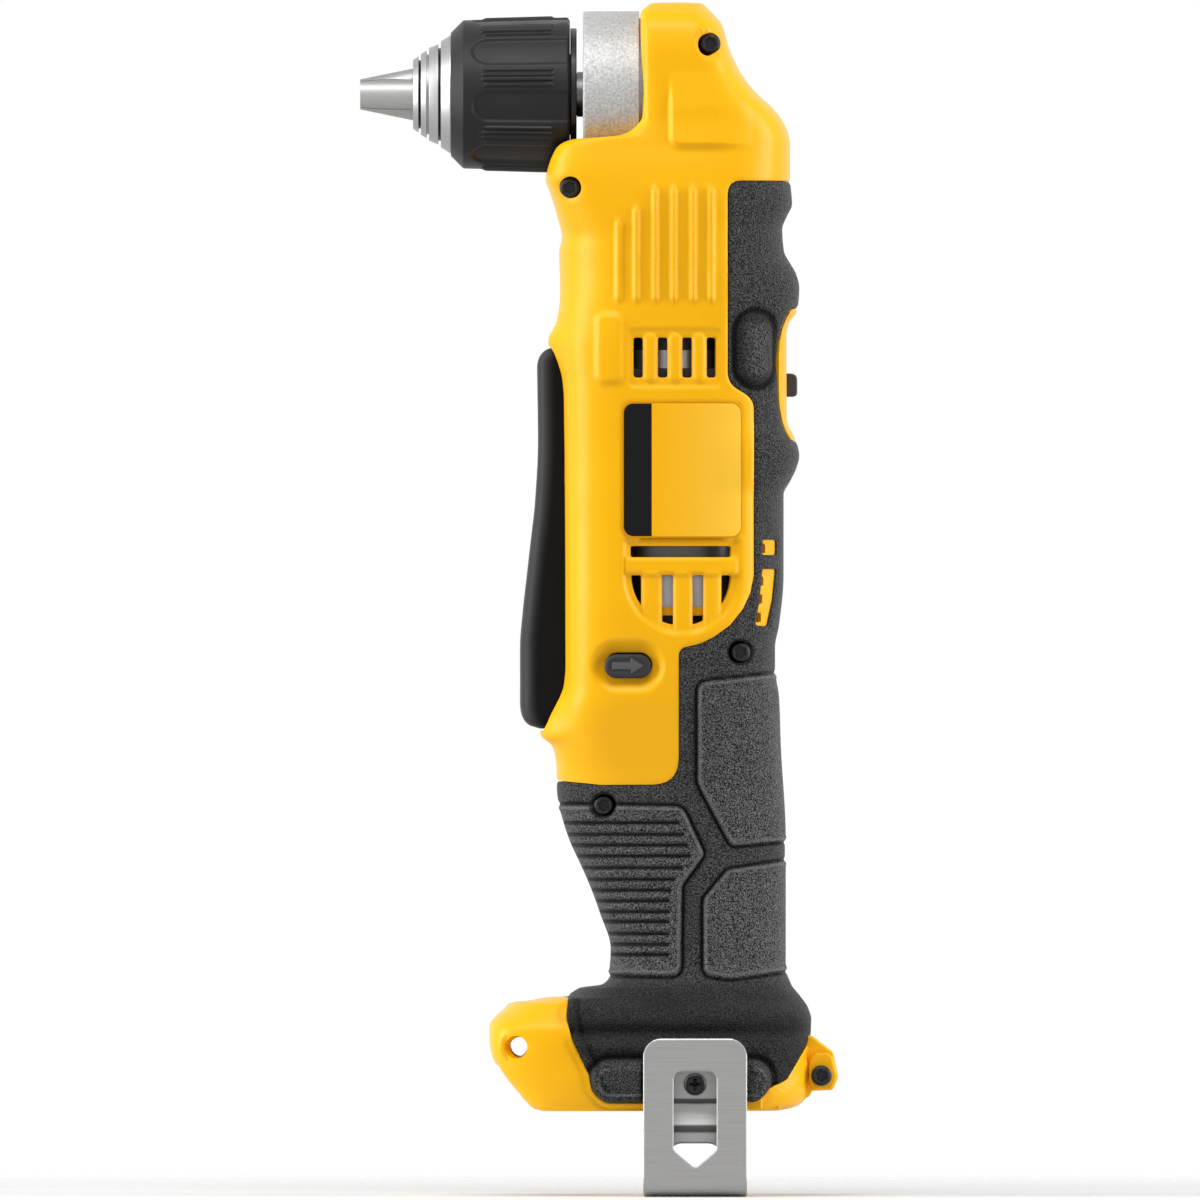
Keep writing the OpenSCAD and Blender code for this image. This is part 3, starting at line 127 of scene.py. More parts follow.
row_step, turn_step, cap_height = 0.56, math.pi * 1.47 / 172, 0.45
skin_rows = even_steps(0, tool_top, row_pace, row_step)
skin_turns = even_steps(0, math.pi, lambda t: 1 + 1.5 * np.sin(t) ** 6, turn_step)
cap_shrink = np.array([0.97, 0.91, 0.8, 0.62, 0.4, 0.2, 0.02])[:, None]

z, skin_turn = np.meshgrid(skin_rows, skin_turns, indexing="ij")
x, y = body_skin(z, skin_turn)
top_x = (front_at(tool_top) + back_at(tool_top)) / 2
z = np.vstack([z, tool_top + cap_height * np.sqrt(1 - cap_shrink ** 2) + 0 * y[:len(cap_shrink)]])
x = np.vstack([x, top_x + (x[-1] - top_x) * cap_shrink])
y = np.vstack([y, y[-1] * cap_shrink])
skin_points = np.stack([x, y, z], axis=-1)
skin_normals = np.cross(np.gradient(skin_points, axis=0), np.gradient(skin_points, axis=1))
skin_normals /= np.maximum(np.linalg.norm(skin_normals, axis=-1, keepdims=True), 1e-9)


def grid_triangles(rows, columns):
    """Two triangles for each cell of a grid of points."""
    i, j = np.meshgrid(np.arange(rows - 1), np.arange(columns - 1), indexing="ij")
    a = (i * columns + j).ravel()
    b, c, d = a + 1, a + columns + 1, a + columns
    return np.concatenate([np.stack([a, b, c], 1), np.stack([a, c, d], 1)])


def box_off(x, z, low, high, corner):
    """Distance off a box with rounded corners, less than 0 inside."""
    qx = np.abs(x - (low[0] + high[0]) / 2) - (high[0] - low[0]) / 2 + corner
    qz = np.abs(z - (low[1] + high[1]) / 2) - (high[1] - low[1]) / 2 + corner
    return np.hypot(np.maximum(qx, 0), np.maximum(qz, 0)) + np.minimum(np.maximum(qx, qz), 0) - corner


def disc_off(x, z, place, r):
    """Distance off a disc, less than 0 inside."""
    return np.hypot(x - place[0], z - place[1]) - r


def line_off(x, z, a, b, r):
    """Distance off a straight bead of radius r from a to b."""
    ax, az = b[0] - a[0], b[1] - a[1]
    t = np.clip(((x - a[0]) * ax + (z - a[1]) * az) / (ax * ax + az * az), 0, 1)
    return np.hypot(x - a[0] - t * ax, z - a[1] - t * az) - r


def upright_off(x, z, places, low, high, r):
    """Distance off the nearest of several upright beads."""
    return np.min([line_off(x, z, (place, low), (place, high), r) for place in places], axis=0)


def outline_off(x, z, outline):
    """Distance off a closed outline, less than 0 inside."""
    off = np.full(x.shape, 1e9)
    inside = np.zeros(x.shape, bool)
    for (x0, z0), (x1, z1) in zip(outline, outline[1:] + outline[:1]):
        off = np.minimum(off, line_off(x, z, (x0, z0), (x1, z1), 0))
        crosses = (z0 > z) != (z1 > z)
        inside ^= crosses & (x < (x1 - x0) * (z - z0) / (z1 - z0 if z1 != z0 else 1e-9) + x0)
    return np.where(inside, -off, off)


def rounded(corners, steps=7):
    """Outline through (x, z, radius) corners, each one rounded with its radius."""
    out = []
    for k, (x, z, r) in enumerate(corners):
        p = np.array([x, z], float)
        to_last = np.array(corners[k - 1][:2], float) - p
        to_next = np.array(corners[(k + 1) % len(corners)][:2], float) - p
        last_way, next_way = np.linalg.norm(to_last), np.linalg.norm(to_next)
        u, w = to_last / last_way, to_next / next_way
        half = math.acos(max(-1, min(1, float(u @ w)))) / 2
        cut = min(r / max(math.tan(half), 1e-6), 0.49 * last_way, 0.49 * next_way)
        if r <= 0:
            out.append((x, z))
            continue
        for t in np.linspace(0, 1, steps):
            q = (1 - t) ** 2 * (p + u * cut) + 2 * t * (1 - t) * p + t * t * (p + w * cut)
            out.append((float(q[0]), float(q[1])))
    return out


def rise(off, width):
    """1 well inside, 0 well outside, with an even slope of that width on the edge."""
    t = np.clip(0.5 - off / width, 0, 1)
    return t * t * (3 - 2 * t)


def bead(off, r, power=0.5):
    """Round crest of a bead, 1 on its line and 0 at its edge; a higher power runs out softly."""
    return np.clip(1 - ((off + r) / r) ** 2, 0, 1) ** power


def line_mark(off, width):
    """Soft line, 1 where off is 0."""
    return np.exp(-(off / width) ** 2)


# side view of the soft grip, which the yellow leaves free, and of the selector's saddle in it
grip_outline = rounded([
    (70, 206.6, 0), (12.5, 206.6, 3), (12.5, 161.6, 4.4), (18.4, 158.2, 4.4), (18.4, 119, 0), (17.6, 115, 0),
    (15.9, 111.4, 0), (13, 107.8, 0), (9.4, 105.2, 0), (6.3, 103.7, 0), (1.6, 102.6, 2), (1.6, 72.4, 6),
    (-16, 72.3, 0), (-25, 73.2, 0), (-70, 73.2, 0), (-70, 26.6, 0), (-23, 25.6, 0), (-23.4, 21, 3),
    (-22.2, 16, 4), (-18.4, 8.2, 3), (-17.8, 4.6, 2), (-15, 1.7, 3), (18.5, 1.7, 3), (21.6, 5, 2),
    (25.6, 7, 2), (31.4, 16.6, 3), (31.6, 20, 0), (70, 20, 0)])
saddle_outline = [(60, 149), (26.8, 149), (25.6, 151), (24.8, 153), (24.1, 156.5), (23.9, 160), (23.9, 167.4),
                  (24.1, 170.8), (24.8, 174), (25.6, 176), (26.8, 178.2), (60, 178.2)]
spine_windows = [
    rounded([(20.3, 123.5, .4), (23.6, 123.5, .4), (23.6, 126.9, .4), (20.3, 126.9, .4)]),
    rounded([(20.3, 120.4, .4), (19.6, 113, 0), (18.7, 107.8, .5), (21.6, 107.5, .6), (22.9, 113.4, 0),
             (23.6, 120.4, .4)])]
off_grip = np.maximum(outline_off(x, z, grip_outline), -outline_off(x, z, saddle_outline))
off_windows = np.minimum(*[outline_off(x, z, w) for w in spine_windows])

# vents over the fan and round the commutator
slot_first, slot_pitch, slot_width = -8.6, 5.45, 2.1
bowl_z = 119
bowl_place = (2.2, bowl_z)
bowl_off = np.minimum(disc_off(x, z, bowl_place, 11.5), box_off(x, z, (-9.3, 118), (13.7, 121), 0))
vents = [box_off(x, z, (left, 162.9), (left + slot_width, 171.8), 0.5)
         for left in (slot_first + slot_pitch * i for i in range(4))]
vents.append(box_off(x, z, (-9.3, 123), (13.6, 125.5), 0.4))
vents += [np.maximum(box_off(x, z, (left, 105), (left + 2.4, bowl_z), 0.35), bowl_off + 0.2)
          for left in (-9.3, -2.2, 4.6, 11.2)]
for height in (123.9, 116.6, 112.5, 108.4):
    lean = (height - 123.9) * 0.06
    vents.append(box_off(x, z, (19.9 + lean, height), (21.6 + lean, height + 2.2), 0.3))
vent_off = np.min(vents, axis=0)

# openings for the paddle, the gear case, the selector, the battery, the light, the lanyard, the button
# and the screws
no_opening = 99
spindle_z = 226.0
button_x, button_z = -9.8, 98.8
button_off = line_off(x, z, (button_x - 2.5, button_z), (button_x + 2.5, button_z), 2.9)
paddle_off = np.where(x < 0, box_off(y, z, (-11.6, 84.3), (11.6, 170), 2), no_opening)
nose_off = np.where(x < 0, disc_off(y, z, (0, spindle_z), 18.6), no_opening)
selector_off = np.where(x > 15, box_off(y, z, (-5.2, 151), (5.2, 174), 1.5), no_opening)
battery_off = np.where(x < -15, box_off(y, z, (-20, -5), (20, 10), 1), no_opening)
light_x, light_z, light_r, light_turn = -38, 22, 3.05, math.radians(48)
light_along = (x - light_x) * -math.sin(light_turn) + (z - light_z) * math.cos(light_turn)
light_away = (x - light_x) ** 2 + y ** 2 + (z - light_z) ** 2 - light_along ** 2
light_off = np.where((x < -25) & (z > 14), np.sqrt(np.maximum(light_away, 0)) - light_r, no_opening)
lanyard_place = (-34.7, 14.2)
lanyard_off = disc_off(x, z, lanyard_place, 2.6)
screw_places = [(8.5, 237.2), (-22.7, 205.1), (15.1, 101.9), (-15.1, 67.9)]
screw_off = np.min([disc_off(x, z, p, 2.5) for p in screw_places], axis=0)
openings = np.min([paddle_off, nose_off, selector_off, battery_off, light_off, lanyard_off, button_off],
                  axis=0)

# raised ribs, pads and lips, and recesses
shell_relief = np.zeros(x.shape)
for rib_x, rib_top in zip((-11.8, -7.9, -3.7, 0.4, 4.7, 8.7), (198, 201, 205.4, 205.4, 205.4, 205.4)):
    shell_relief += 0.75 * bead(line_off(x, z, (rib_x, 180.5), (rib_x, rib_top - 0.95), 1.0), 1.0, 1.5)
shell_relief += 0.75 * rise(box_off(x, z, (-16.7, 161.7), (-11.2, 177), 1.8), 1.6)
panel = rise(box_off(x, z, (-9.6, 160.8), (10.8, 173.6), 1), 1.0)
bar_places = [slot_first + slot_pitch * (i + 0.5) + slot_width / 2 for i in range(3)]
shell_relief += -0.45 * panel + 0.55 * bead(upright_off(x, z, bar_places, 163, 171.6, 1.3), 1.3) * panel
grille = rise(np.minimum(box_off(x, z, (-10.6, 118), (15, 127), 0.8), disc_off(x, z, bowl_place, 12.9)), 1.5)
crossbar = rise(box_off(x, z, (-10.4, 119.2), (14.8, 122.9), 0.3), 0.8)
bowl_bars = bead(upright_off(x, z, (-4.6, 2.4, 9.1), 106, bowl_z, 1.9), 1.9) * (z < 119.5)
shell_relief += grille * (-1.0 + 0.8 * crossbar + 0.5 * bowl_bars)
dish = line_off(x, z, (button_x - 2.4, button_z), (button_x + 2.4, button_z), 6.1)
shell_relief += -1.9 * rise(dish + 1.2, 2.6)
boss_fade = np.clip((231 - z) / 8, 0, 1) * np.clip((18 - x) / 8, 0, 1)
shell_relief += 1.1 * rise(box_off(x, z, (-0.3, 214.2), (40, 260), 2.2), 1.3) * boss_fade
shell_relief += -0.25 * rise(box_off(x, z, (-11.3, 127.1), (15.8, 157.7), 2), 0.5)
shell_relief += -0.8 * rise(off_windows - 0.7, 0.5)
pocket = rise(box_off(x, z, (5.4, 234.1), (30, 240.3), 3), 0.5)
shell_relief -= np.maximum(-y - 18.4, 0) * pocket
shell_relief *= np.clip(-y / 3, 0, 1)
# lips that stand out above and below the paddle, on the front alone
lip_at = smooth_line([
    (77, 0), (80.3, 0.5), (81.8, 1.3), (82.7, 2.6), (83.6, 3.4), (84.7, 3.4), (86, 2.9), (87.7, 2.3),
    (91.3, 1.1), (95, 0.4), (99, 0), (158, 0), (163, 0.4), (166, 1), (168.6, 1.9), (170.5, 2.4), (172, 2.2),
    (173.5, 1.4), (175.5, 0.5), (179, 0)])
shell_relief += np.where(x < 0, lip_at(z) * rise(np.abs(y) - 14, 8), 0)
# fine line beside the soft grip on the foot, and the seam
shell_relief -= 0.35 * line_mark(off_grip - 1.1, 0.42) * np.clip((27 - z) / 3, 0, 1)
shell_relief -= 0.22 * line_mark(y, 0.45)


def round_edge(keep, radius, depth):
    """How far an edge turns in where a skin ends."""
    return depth * np.clip(1 - keep / radius, 0, 1) ** 2


def cut_skin(points, triangles, keep):
    """The part of a skin where keep is over 0, cut cleanly along the line where it is 0."""
    held = (keep > 0)[triangles]
    count = held.sum(1)

    def roll(part, first):
        k = np.argmax(first, axis=1)
        return np.take_along_axis(part, (k[:, None] + np.arange(3)) % 3, axis=1)
    one = roll(triangles[count == 1], held[count == 1])
    two = roll(triangles[count == 2], ~held[count == 2])
    edges = np.sort(np.concatenate([one[:, [0, 1]], one[:, [0, 2]], two[:, [0, 1]], two[:, [0, 2]]]), axis=1)
    pairs, which = np.unique(edges, axis=0, return_inverse=True)
    first, last = pairs.T
    t = np.clip(keep[first] / (keep[first] - keep[last]), 0.03, 0.97)[:, None]
    new = which.reshape(-1) + len(points)
    points = np.concatenate([points, points[first] * (1 - t) + points[last] * t])
    k1, k2 = len(one), len(two)
    ab, ac, cb, cc = np.split(new, [k1, 2 * k1, 2 * k1 + k2])
    triangles = np.concatenate([triangles[count == 3], np.stack([one[:, 0], ab, ac], 1),
                                np.stack([cb, two[:, 1], two[:, 2]], 1), np.stack([cb, two[:, 2], cc], 1)])
    used, triangles = np.unique(triangles, return_inverse=True)
    return points[used], triangles.reshape(-1, 3)


def shown(name, data):
    """Object for a mesh, a lamp or a camera, linked to the scene."""
    piece = bpy.data.objects.new(name, data)
    bpy.context.scene.collection.objects.link(piece)
    return piece


def walled_piece(name, cut, triangles, *marks):
    """Piece of a skin, its inner face and the wall between their edges, with sharp rims.

    The columns of cut are the outer place, the inner place, both in mm, and a value for each mark.
    """
    n = len(cut)
    edges = np.concatenate([triangles[:, [0, 1]], triangles[:, [1, 2]], triangles[:, [2, 0]]])
    _, first, times = np.unique(np.sort(edges, axis=1), axis=0, return_index=True, return_counts=True)
    rim = edges[first[times == 1]]
    walls = np.stack([rim[:, 0], rim[:, 1], rim[:, 1] + n, rim[:, 0] + n], 1)
    mesh = bpy.data.meshes.new(name)
    faces = triangles[:, ::-1].tolist() + (triangles + n).tolist() + walls.tolist()
    mesh.from_pydata((np.concatenate([cut[:, :3], cut[:, 3:6]]) * MM).tolist(), [], faces)
    mesh.polygons.foreach_set("use_smooth", np.ones(len(mesh.polygons), bool))
    ends = np.zeros(len(mesh.edges) * 2, np.int32)
    mesh.edges.foreach_get("vertices", ends)
    codes = [np.sort(pair, axis=1).astype(np.int64) @ [2 * n, 1]
             for pair in (ends.reshape(-1, 2), np.concatenate([rim, rim + n]))]
    sharp = mesh.attributes.new("sharp_edge", "BOOLEAN", "EDGE")
    sharp.data.foreach_set("value", np.isin(*codes))
    for k, mark in enumerate(marks):
        value = np.tile(cut[:, 6 + k], 2).astype(np.float32)
        mesh.attributes.new(mark, "FLOAT", "POINT").data.foreach_set("value", value)
    return shown(name, mesh)


def skin_piece(name, side, keep, relief, wall, rim, **marks):
    """A piece cut from the body's skin, its relief raised, its rim rounded, and its wall turned inwards."""
    raised = relief - round_edge(keep, *rim)
    outer = skin_points + skin_normals * raised[..., None]
    inner = skin_points - skin_normals * np.maximum(wall, 0.8 - raised)[..., None]
    inner[..., 1] = np.minimum(inner[..., 1], -0.02)
    outer[..., 1] = np.minimum(outer[..., 1], 0)
    columns = np.concatenate([outer, inner] + [value[..., None] for value in marks.values()], axis=-1)
    columns = columns.reshape(-1, columns.shape[-1])
    cut, triangles = cut_skin(columns, grid_triangles(*keep.shape), keep.ravel())
    if side == "right":
        cut[:, [1, 4]] *= -1
        triangles = triangles[:, ::-1]
    return walled_piece(name, cut, triangles, *marks)


def wire(tree, *links):
    """Links from a node's output to another node's input."""
    for source, leaving, target, entering in links:
        tree.links.new(source.outputs[leaving], target.inputs[entering])


def add(tree, kind, **settings):
    """New shader node; a setting goes to the input of that name, or else to the node itself."""
    node = tree.nodes.new("ShaderNode" + kind)
    for key, value in settings.items():
        if key in node.inputs.keys():
            node.inputs[key].default_value = value
        else:
            setattr(node, key, value)
    return node


def ramp(tree, start, end, low, high, kind="SMOOTHSTEP"):
    """Step from one value to another, smooth or straight."""
    node = add(tree, "MapRange", interpolation_type=kind)
    for key, value in zip(("From Min", "From Max", "To Min", "To Max"), (start, end, low, high)):
        node.inputs[key].default_value = value
    return node


def mix_of(tree, low=(0, 0, 0), high=(0, 0, 0)):
    """Mix of two colours."""
    return add(tree, "Mix", data_type="RGBA", A=(*low, 1), B=(*high, 1))


def new_material(name, **sockets):
    """New material, its tree and its shader with the constants given."""
    material = bpy.data.materials.new(name)
    material.use_nodes = True
    shader = material.node_tree.nodes["Principled BSDF"]
    for key, value in sockets.items():
        shader.inputs[key.replace("_", " ")].default_value = value
    return material, material.node_tree, shader


# moulded grain: fine spark-eroded texture of a mould, with soft blotches in gloss and colour
grain = bpy.data.node_groups.new("moulded_grain", "ShaderNodeTree")
grain_inputs = {"Grain Size": 0.0004, "Blotch Size": 0.02, "Rough Low": 0.3, "Rough High": 0.45}
for key, value in grain_inputs.items():
    grain.interface.new_socket(key, in_out="INPUT", socket_type="NodeSocketFloat").default_value = value
for key in ("Height", "Roughness", "Blotch"):
    grain.interface.new_socket(key, in_out="OUTPUT", socket_type="NodeSocketFloat")
given, made = grain.nodes.new("NodeGroupInput"), grain.nodes.new("NodeGroupOutput")
coord = add(grain, "TexCoord")
fine = add(grain, "TexNoise", Detail=3, Roughness=0.6)
soft = add(grain, "TexNoise", Detail=2)
for noise, size in ((fine, "Grain Size"), (soft, "Blotch Size")):
    per_size = add(grain, "Math", operation="DIVIDE")
    per_size.inputs[0].default_value = 1
    wire(grain, (given, size, per_size, 1), (per_size, 0, noise, "Scale"), (coord, "Object", noise, "Vector"))
to_rough = ramp(grain, 0.3, 0.7, 0, 1, "LINEAR")
wire(grain, (soft, "Fac", to_rough, "Value"), (given, "Rough Low", to_rough, "To Min"),
     (given, "Rough High", to_rough, "To Max"), (fine, "Fac", made, "Height"),
     (to_rough, "Result", made, "Roughness"), (soft, "Fac", made, "Blotch"))


def grain_material(name, base, shade, sizes, bump, **sockets):
    """Material with the moulded grain, its colour between base and shade; sizes are the group's inputs."""
    material, tree, shader = new_material(name, **sockets)
    group = tree.nodes.new("ShaderNodeGroup")
    group.node_tree = grain
    for key, value in zip(grain_inputs, sizes):
        group.inputs[key].default_value = value
    mix = mix_of(tree, base, shade)
    relief = add(tree, "Bump", Strength=bump[0], Distance=bump[1])
    wire(tree, (group, "Blotch", mix, "Factor"), (mix, "Result", shader, "Base Color"),
         (group, "Roughness", shader, "Roughness"), (group, "Height", relief, "Height"),
         (relief, "Normal", shader, "Normal"))
    return material


yellow = grain_material("yellow_nylon", (0.95, 0.48, 0.004), (0.9, 0.44, 0.003),
                        (0.00035, 0.03, 0.3, 0.42), (0.12, 0.00006), Specular_IOR_Level=0.2)
shell_wall = 2.4
yellow_free = np.min([np.maximum(off_grip - 0.1, 0.9 - off_windows), vent_off, openings], axis=0)
shell_keep = {"left": np.minimum(yellow_free, screw_off), "right": yellow_free}
for side in sides:
    shell = skin_piece(side + "_shell", side, shell_keep[side], shell_relief, shell_wall, (0.7, 0.3))
    shell.data.materials.append(yellow)
    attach(shell, "housing")
    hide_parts(side + "_housing")

# Soft grip: black thermoplastic rubber moulded over both halves, with a leather grain, three framed
# pads on the handle, cross ribs under the fingers and a thumb pad on the spine.

upper_pad = rounded([(60, 98.2, 0), (22.8, 96.9, 0), (5.9, 95, 2.2), (5.9, 72.8, 4), (13.2, 59, 1.5),
                     (24.8, 60.1, 0), (60, 64, 0)])
lower_pad = rounded([(60, 60.2, 0), (25, 55.3, 0), (12.4, 53.4, 2), (7.2, 47, 2.5), (7.2, 30.2, 2.2),
                     (13, 29.4, 0), (25, 31.2, 0), (60, 35, 0)])
rib_pad = rounded([(-60, 67.8, 0), (-16, 67.7, 0), (2.2, 67.4, 2.4), (7, 57, 1.6), (2, 50.2, 3),
                   (1.8, 30, 2.4), (-13, 30.4, 0), (-60, 31, 0)])
groove_ends = [(64, 1.3), (61.4, 2.4), (59, 3.3), (56.6, 3.9), (54, 2.1), (51.4, 0.5), (49, -0.4),
               (46.6, -0.7), (44.2, -0.7), (42, -0.8), (39.3, -0.8), (36.9, -0.8), (34.6, -0.8)]

pad_off = np.min([outline_off(x, z, p) for p in (upper_pad, lower_pad, rib_pad)], axis=0)
thumb_off = line_off(x, z, (18.5, 165.2), (18.5, 173.2), 3.9)
hook_pad_off = box_off(x, z, (-18, 1.9), (22, 11.4), 4.2)
groove_off = np.min([np.hypot(np.maximum(x - end, 0), z - height) for height, end in groove_ends], axis=0)

facing = np.clip((np.abs(skin_normals[..., 1]) - 0.05) / 0.5, 0, 1)
grip_relief = 0.1 + 0.4 * rise(pad_off, 0.9) + 0.3 * line_mark(pad_off + 0.45, 0.35)
grip_relief -= 0.55 * line_mark(pad_off - 0.5, 0.4)
grip_relief *= np.maximum(facing, 0.5)
grip_relief -= 0.6 * line_mark(groove_off, 0.45) * facing
# folds of the foot, and the pad behind the belt hook
folds = 0.4 + 0.8 * line_mark(z - 22.3, 2.1) - 1.7 * line_mark(z - 17.8, 1.3) + 0.7 * line_mark(z - 14.4, 1.2)
edge_strip = np.clip((-8 - x) / 3, 0, 1)
folds += edge_strip * (0.5 * rise(-off_grip - 1.7, 0.8) - 0.7 * line_mark(off_grip + 2.4, 0.5))
foot_relief = folds * np.clip((27 - z) / 5, 0, 1) * np.where(x > 0, np.clip(1.6 - x / 20, 0.3, 1), 1)
foot_relief += 1.7 * np.sqrt(rise(hook_pad_off + 0.9, 1.8)) - line_mark(hook_pad_off - 0.7, 0.6)
foot_relief += 0.25 * line_mark(hook_pad_off + 1.9, 0.35)
grip_relief += foot_relief * facing
grip_relief += 1.5 * np.sqrt(rise(thumb_off + 1.6, 3.2)) - 0.9 * line_mark(thumb_off - 0.7, 0.8)
# seat for the belt hook's inner leaf, and the seam
hook_seat = rise(box_off(x, z, (-6.9, -20), (17.1, 12.5), 3.2), 0.5)
grip_relief -= np.maximum(grip_relief - y - 26.45, 0) * hook_seat
grip_relief -= 0.2 * line_mark(y, 0.45)

grip_wall, mark_limit = 1.15, 3
hook_screw_place = (5.1, 6.0)
grip_free = np.min([-off_grip - 0.1, off_windows, openings, disc_off(x, z, hook_screw_place, 3.8)], axis=0)
grip_keep = {"left": np.minimum(grip_free, screw_off), "right": grip_free}

# painted shade along dark lines round the pads, painted highlight along light lines on their frames, and a
# shade value for the rubber between them
pad_rims = np.minimum(np.abs(thumb_off - 0.7), np.abs(hook_pad_off - 0.7)) * 0.5
# painted shade: the rubber's colour darkens along the pads' rims, the cross grooves and, on the left, round
# the screw holes; the bump also sinks along these lines
painted_shade_line_off = np.min([np.abs(pad_off - 0.5), pad_rims, groove_off * 0.8], axis=0)
dark = {"left": np.minimum(painted_shade_line_off, np.abs(screw_off) * 0.7), "right": painted_shade_line_off}
# painted highlight: the rubber's colour lightens along lines on the pads' frames and round the inside of the
# hook pad
light = np.minimum(np.abs(pad_off + 0.35), np.abs(hook_pad_off + 1.9))
# shade scales the rubber's tone: lighter on the pads than between them; painted shade over the foot outside
# the hook pad, deepest in its fold and in the middle of its top; painted shade round the inside of the thumb
# pad's rim and a painted highlight on its middle
on_foot = np.clip((30 - z) / 3, 0, 1) * (1 - rise(hook_pad_off, 1))
shade = 0.6 + 0.4 * rise(pad_off - 0.2, 0.8) - 0.34 * on_foot
shade *= 1 - 0.7 * on_foot * line_mark(z - 18.4, 1.9)
shade *= 1 - 0.45 * on_foot * line_mark(x + 1, 8) * line_mark(z - 23.5, 2.2)
shade *= 1 - 0.55 * line_mark(thumb_off + 0.5, 1.1)
shade += 0.3 * rise(thumb_off + 2.2, 1.6)

rubber, tree, shader = new_material("grip_rubber", Specular_IOR_Level=0.1, Sheen_Weight=0.03,
                                    Sheen_Roughness=0.4)
coord = add(tree, "TexCoord")
cells = add(tree, "TexVoronoi", Scale=2400, feature="F1")
leather = add(tree, "TexNoise", Scale=3000, Detail=3)
soft = add(tree, "TexNoise", Scale=60, Detail=3)
painted_shade_node, painted_highlight_node, shade_place = [add(tree, "Attribute", attribute_name=mark)
                                      for mark in ("dark", "light", "shade")]
painted_shade_map = ramp(tree, 0.05, 0.5, 0, 1)
painted_highlight_map = ramp(tree, 0.1, 0.45, 0.5, 0)
grain_map = ramp(tree, 0.37, 0.65, 0, 1)
rough = ramp(tree, 0, 1, 0.4, 0.55, "LINEAR")
# the rubber's tone: grain times the shade value, plus the painted highlight lines, times the painted shade
# lines
speck = add(tree, "Math", operation="MULTIPLY")
with_painted_highlight = add(tree, "Math", operation="ADD", use_clamp=True)
with_painted_shade = add(tree, "Math", operation="MULTIPLY")
pebble = add(tree, "Math", operation="MULTIPLY_ADD")
pebble.inputs[1].default_value = -0.9
height = add(tree, "Math", operation="MULTIPLY_ADD")
height.inputs[1].default_value = 1.6
bump = add(tree, "Bump", Strength=1.0, Distance=0.00035)
tone = mix_of(tree, (0.003, 0.003, 0.0031), (0.15, 0.151, 0.154))
wire(tree, *[(coord, "Object", texture, "Vector") for texture in (cells, leather, soft)],
     (cells, "Distance", pebble, 0), (leather, "Fac", pebble, 2),
     (painted_shade_node, "Fac", painted_shade_map, "Value"), (painted_highlight_node, "Fac", painted_highlight_map, "Value"),
     (leather, "Fac", grain_map, "Value"), (grain_map, "Result", speck, 0), (shade_place, "Fac", speck, 1),
     (speck, 0, with_painted_highlight, 0), (painted_highlight_map, "Result", with_painted_highlight, 1), (with_painted_highlight, 0, with_painted_shade, 0),
     (painted_shade_map, "Result", with_painted_shade, 1), (with_painted_shade, 0, tone, "Factor"), (painted_shade_map, "Result", height, 0),
     (pebble, 0, height, 2), (height, 0, bump, "Height"), (bump, "Normal", shader, "Normal"),
     (tone, "Result", shader, "Base Color"), (soft, "Fac", rough, "Value"),
     (rough, "Result", shader, "Roughness"))

for side in sides:
    grip = skin_piece(side + "_soft_grip", side, grip_keep[side], grip_relief, grip_wall, (0.8, 0.45),
                      dark=np.clip(dark[side], 0, mark_limit), light=np.clip(light, 0, mark_limit),
                      shade=shade)
    grip.data.materials.append(rubber)
    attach(grip, "housing")
    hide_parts(side + "_grip")

# Seam backings: the ledge of each yellow half under the joint between shell and soft grip. The rubber is
# moulded against it, so no light comes through the joint.

backing_depth, backing_wall, backing_half = 2.5, 3.3, 1.5
round_selector = np.where(x > 15, box_off(y, z, (-7, 147), (7, 180), 1), no_opening)
backing_keep = np.min([backing_half - np.abs(off_grip), round_selector, openings], axis=0)
for side in sides:
    backing = skin_piece(side + "_seam_backing", side, backing_keep, np.full(x.shape, -backing_depth),
                         backing_wall, (0.3, 0))
    backing.data.materials.append(yellow)
    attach(backing, "housing")
    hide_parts(side + "_housing")

# Labels: printed polyester films stuck in a shallow recess on each side: a black band along the front
# and a golden field, both plain, with a fine printed outline.

label_low, label_high, label_band = (-11.1, 127.3), (15.6, 157.5), -4.5
label_rise, label_wall, band_blur = 0.06, 0.24, 0.08
label_keep = -box_off(x, z, label_low, label_high, 2.5)

film, tree, shader = new_material("label_film", Roughness=0.34, Specular_IOR_Level=0.13)
coord = add(tree, "TexCoord")
axes = add(tree, "SeparateXYZ")
edge = add(tree, "Attribute", attribute_name="edge")
band = ramp(tree, (label_band - band_blur) * MM, (label_band + band_blur) * MM, 0, 1)
rim = ramp(tree, 0.3, 0.42, 0, 1)
fade = ramp(tree, label_band * MM, label_high[0] * MM, 0, 1, "LINEAR")
field = mix_of(tree, (0.95, 0.45, 0.005), (0.96, 0.56, 0.05))
ink = mix_of(tree, (0.004, 0.004, 0.0043))
outlined = mix_of(tree, (0.62, 0.27, 0.004))
ripple = add(tree, "TexNoise", Scale=220, Detail=2)
bump = add(tree, "Bump", Strength=0.08, Distance=0.0001)
wire(tree, (coord, "Object", axes, 0), (coord, "Object", ripple, "Vector"), (axes, "X", band, "Value"),
     (axes, "X", fade, "Value"), (edge, "Fac", rim, "Value"), (fade, "Result", field, "Factor"),
     (band, "Result", ink, "Factor"), (field, "Result", ink, "B"), (rim, "Result", outlined, "Factor"),
     (ink, "Result", outlined, "B"), (outlined, "Result", shader, "Base Color"),
     (ripple, "Fac", bump, "Height"), (bump, "Normal", shader, "Normal"))

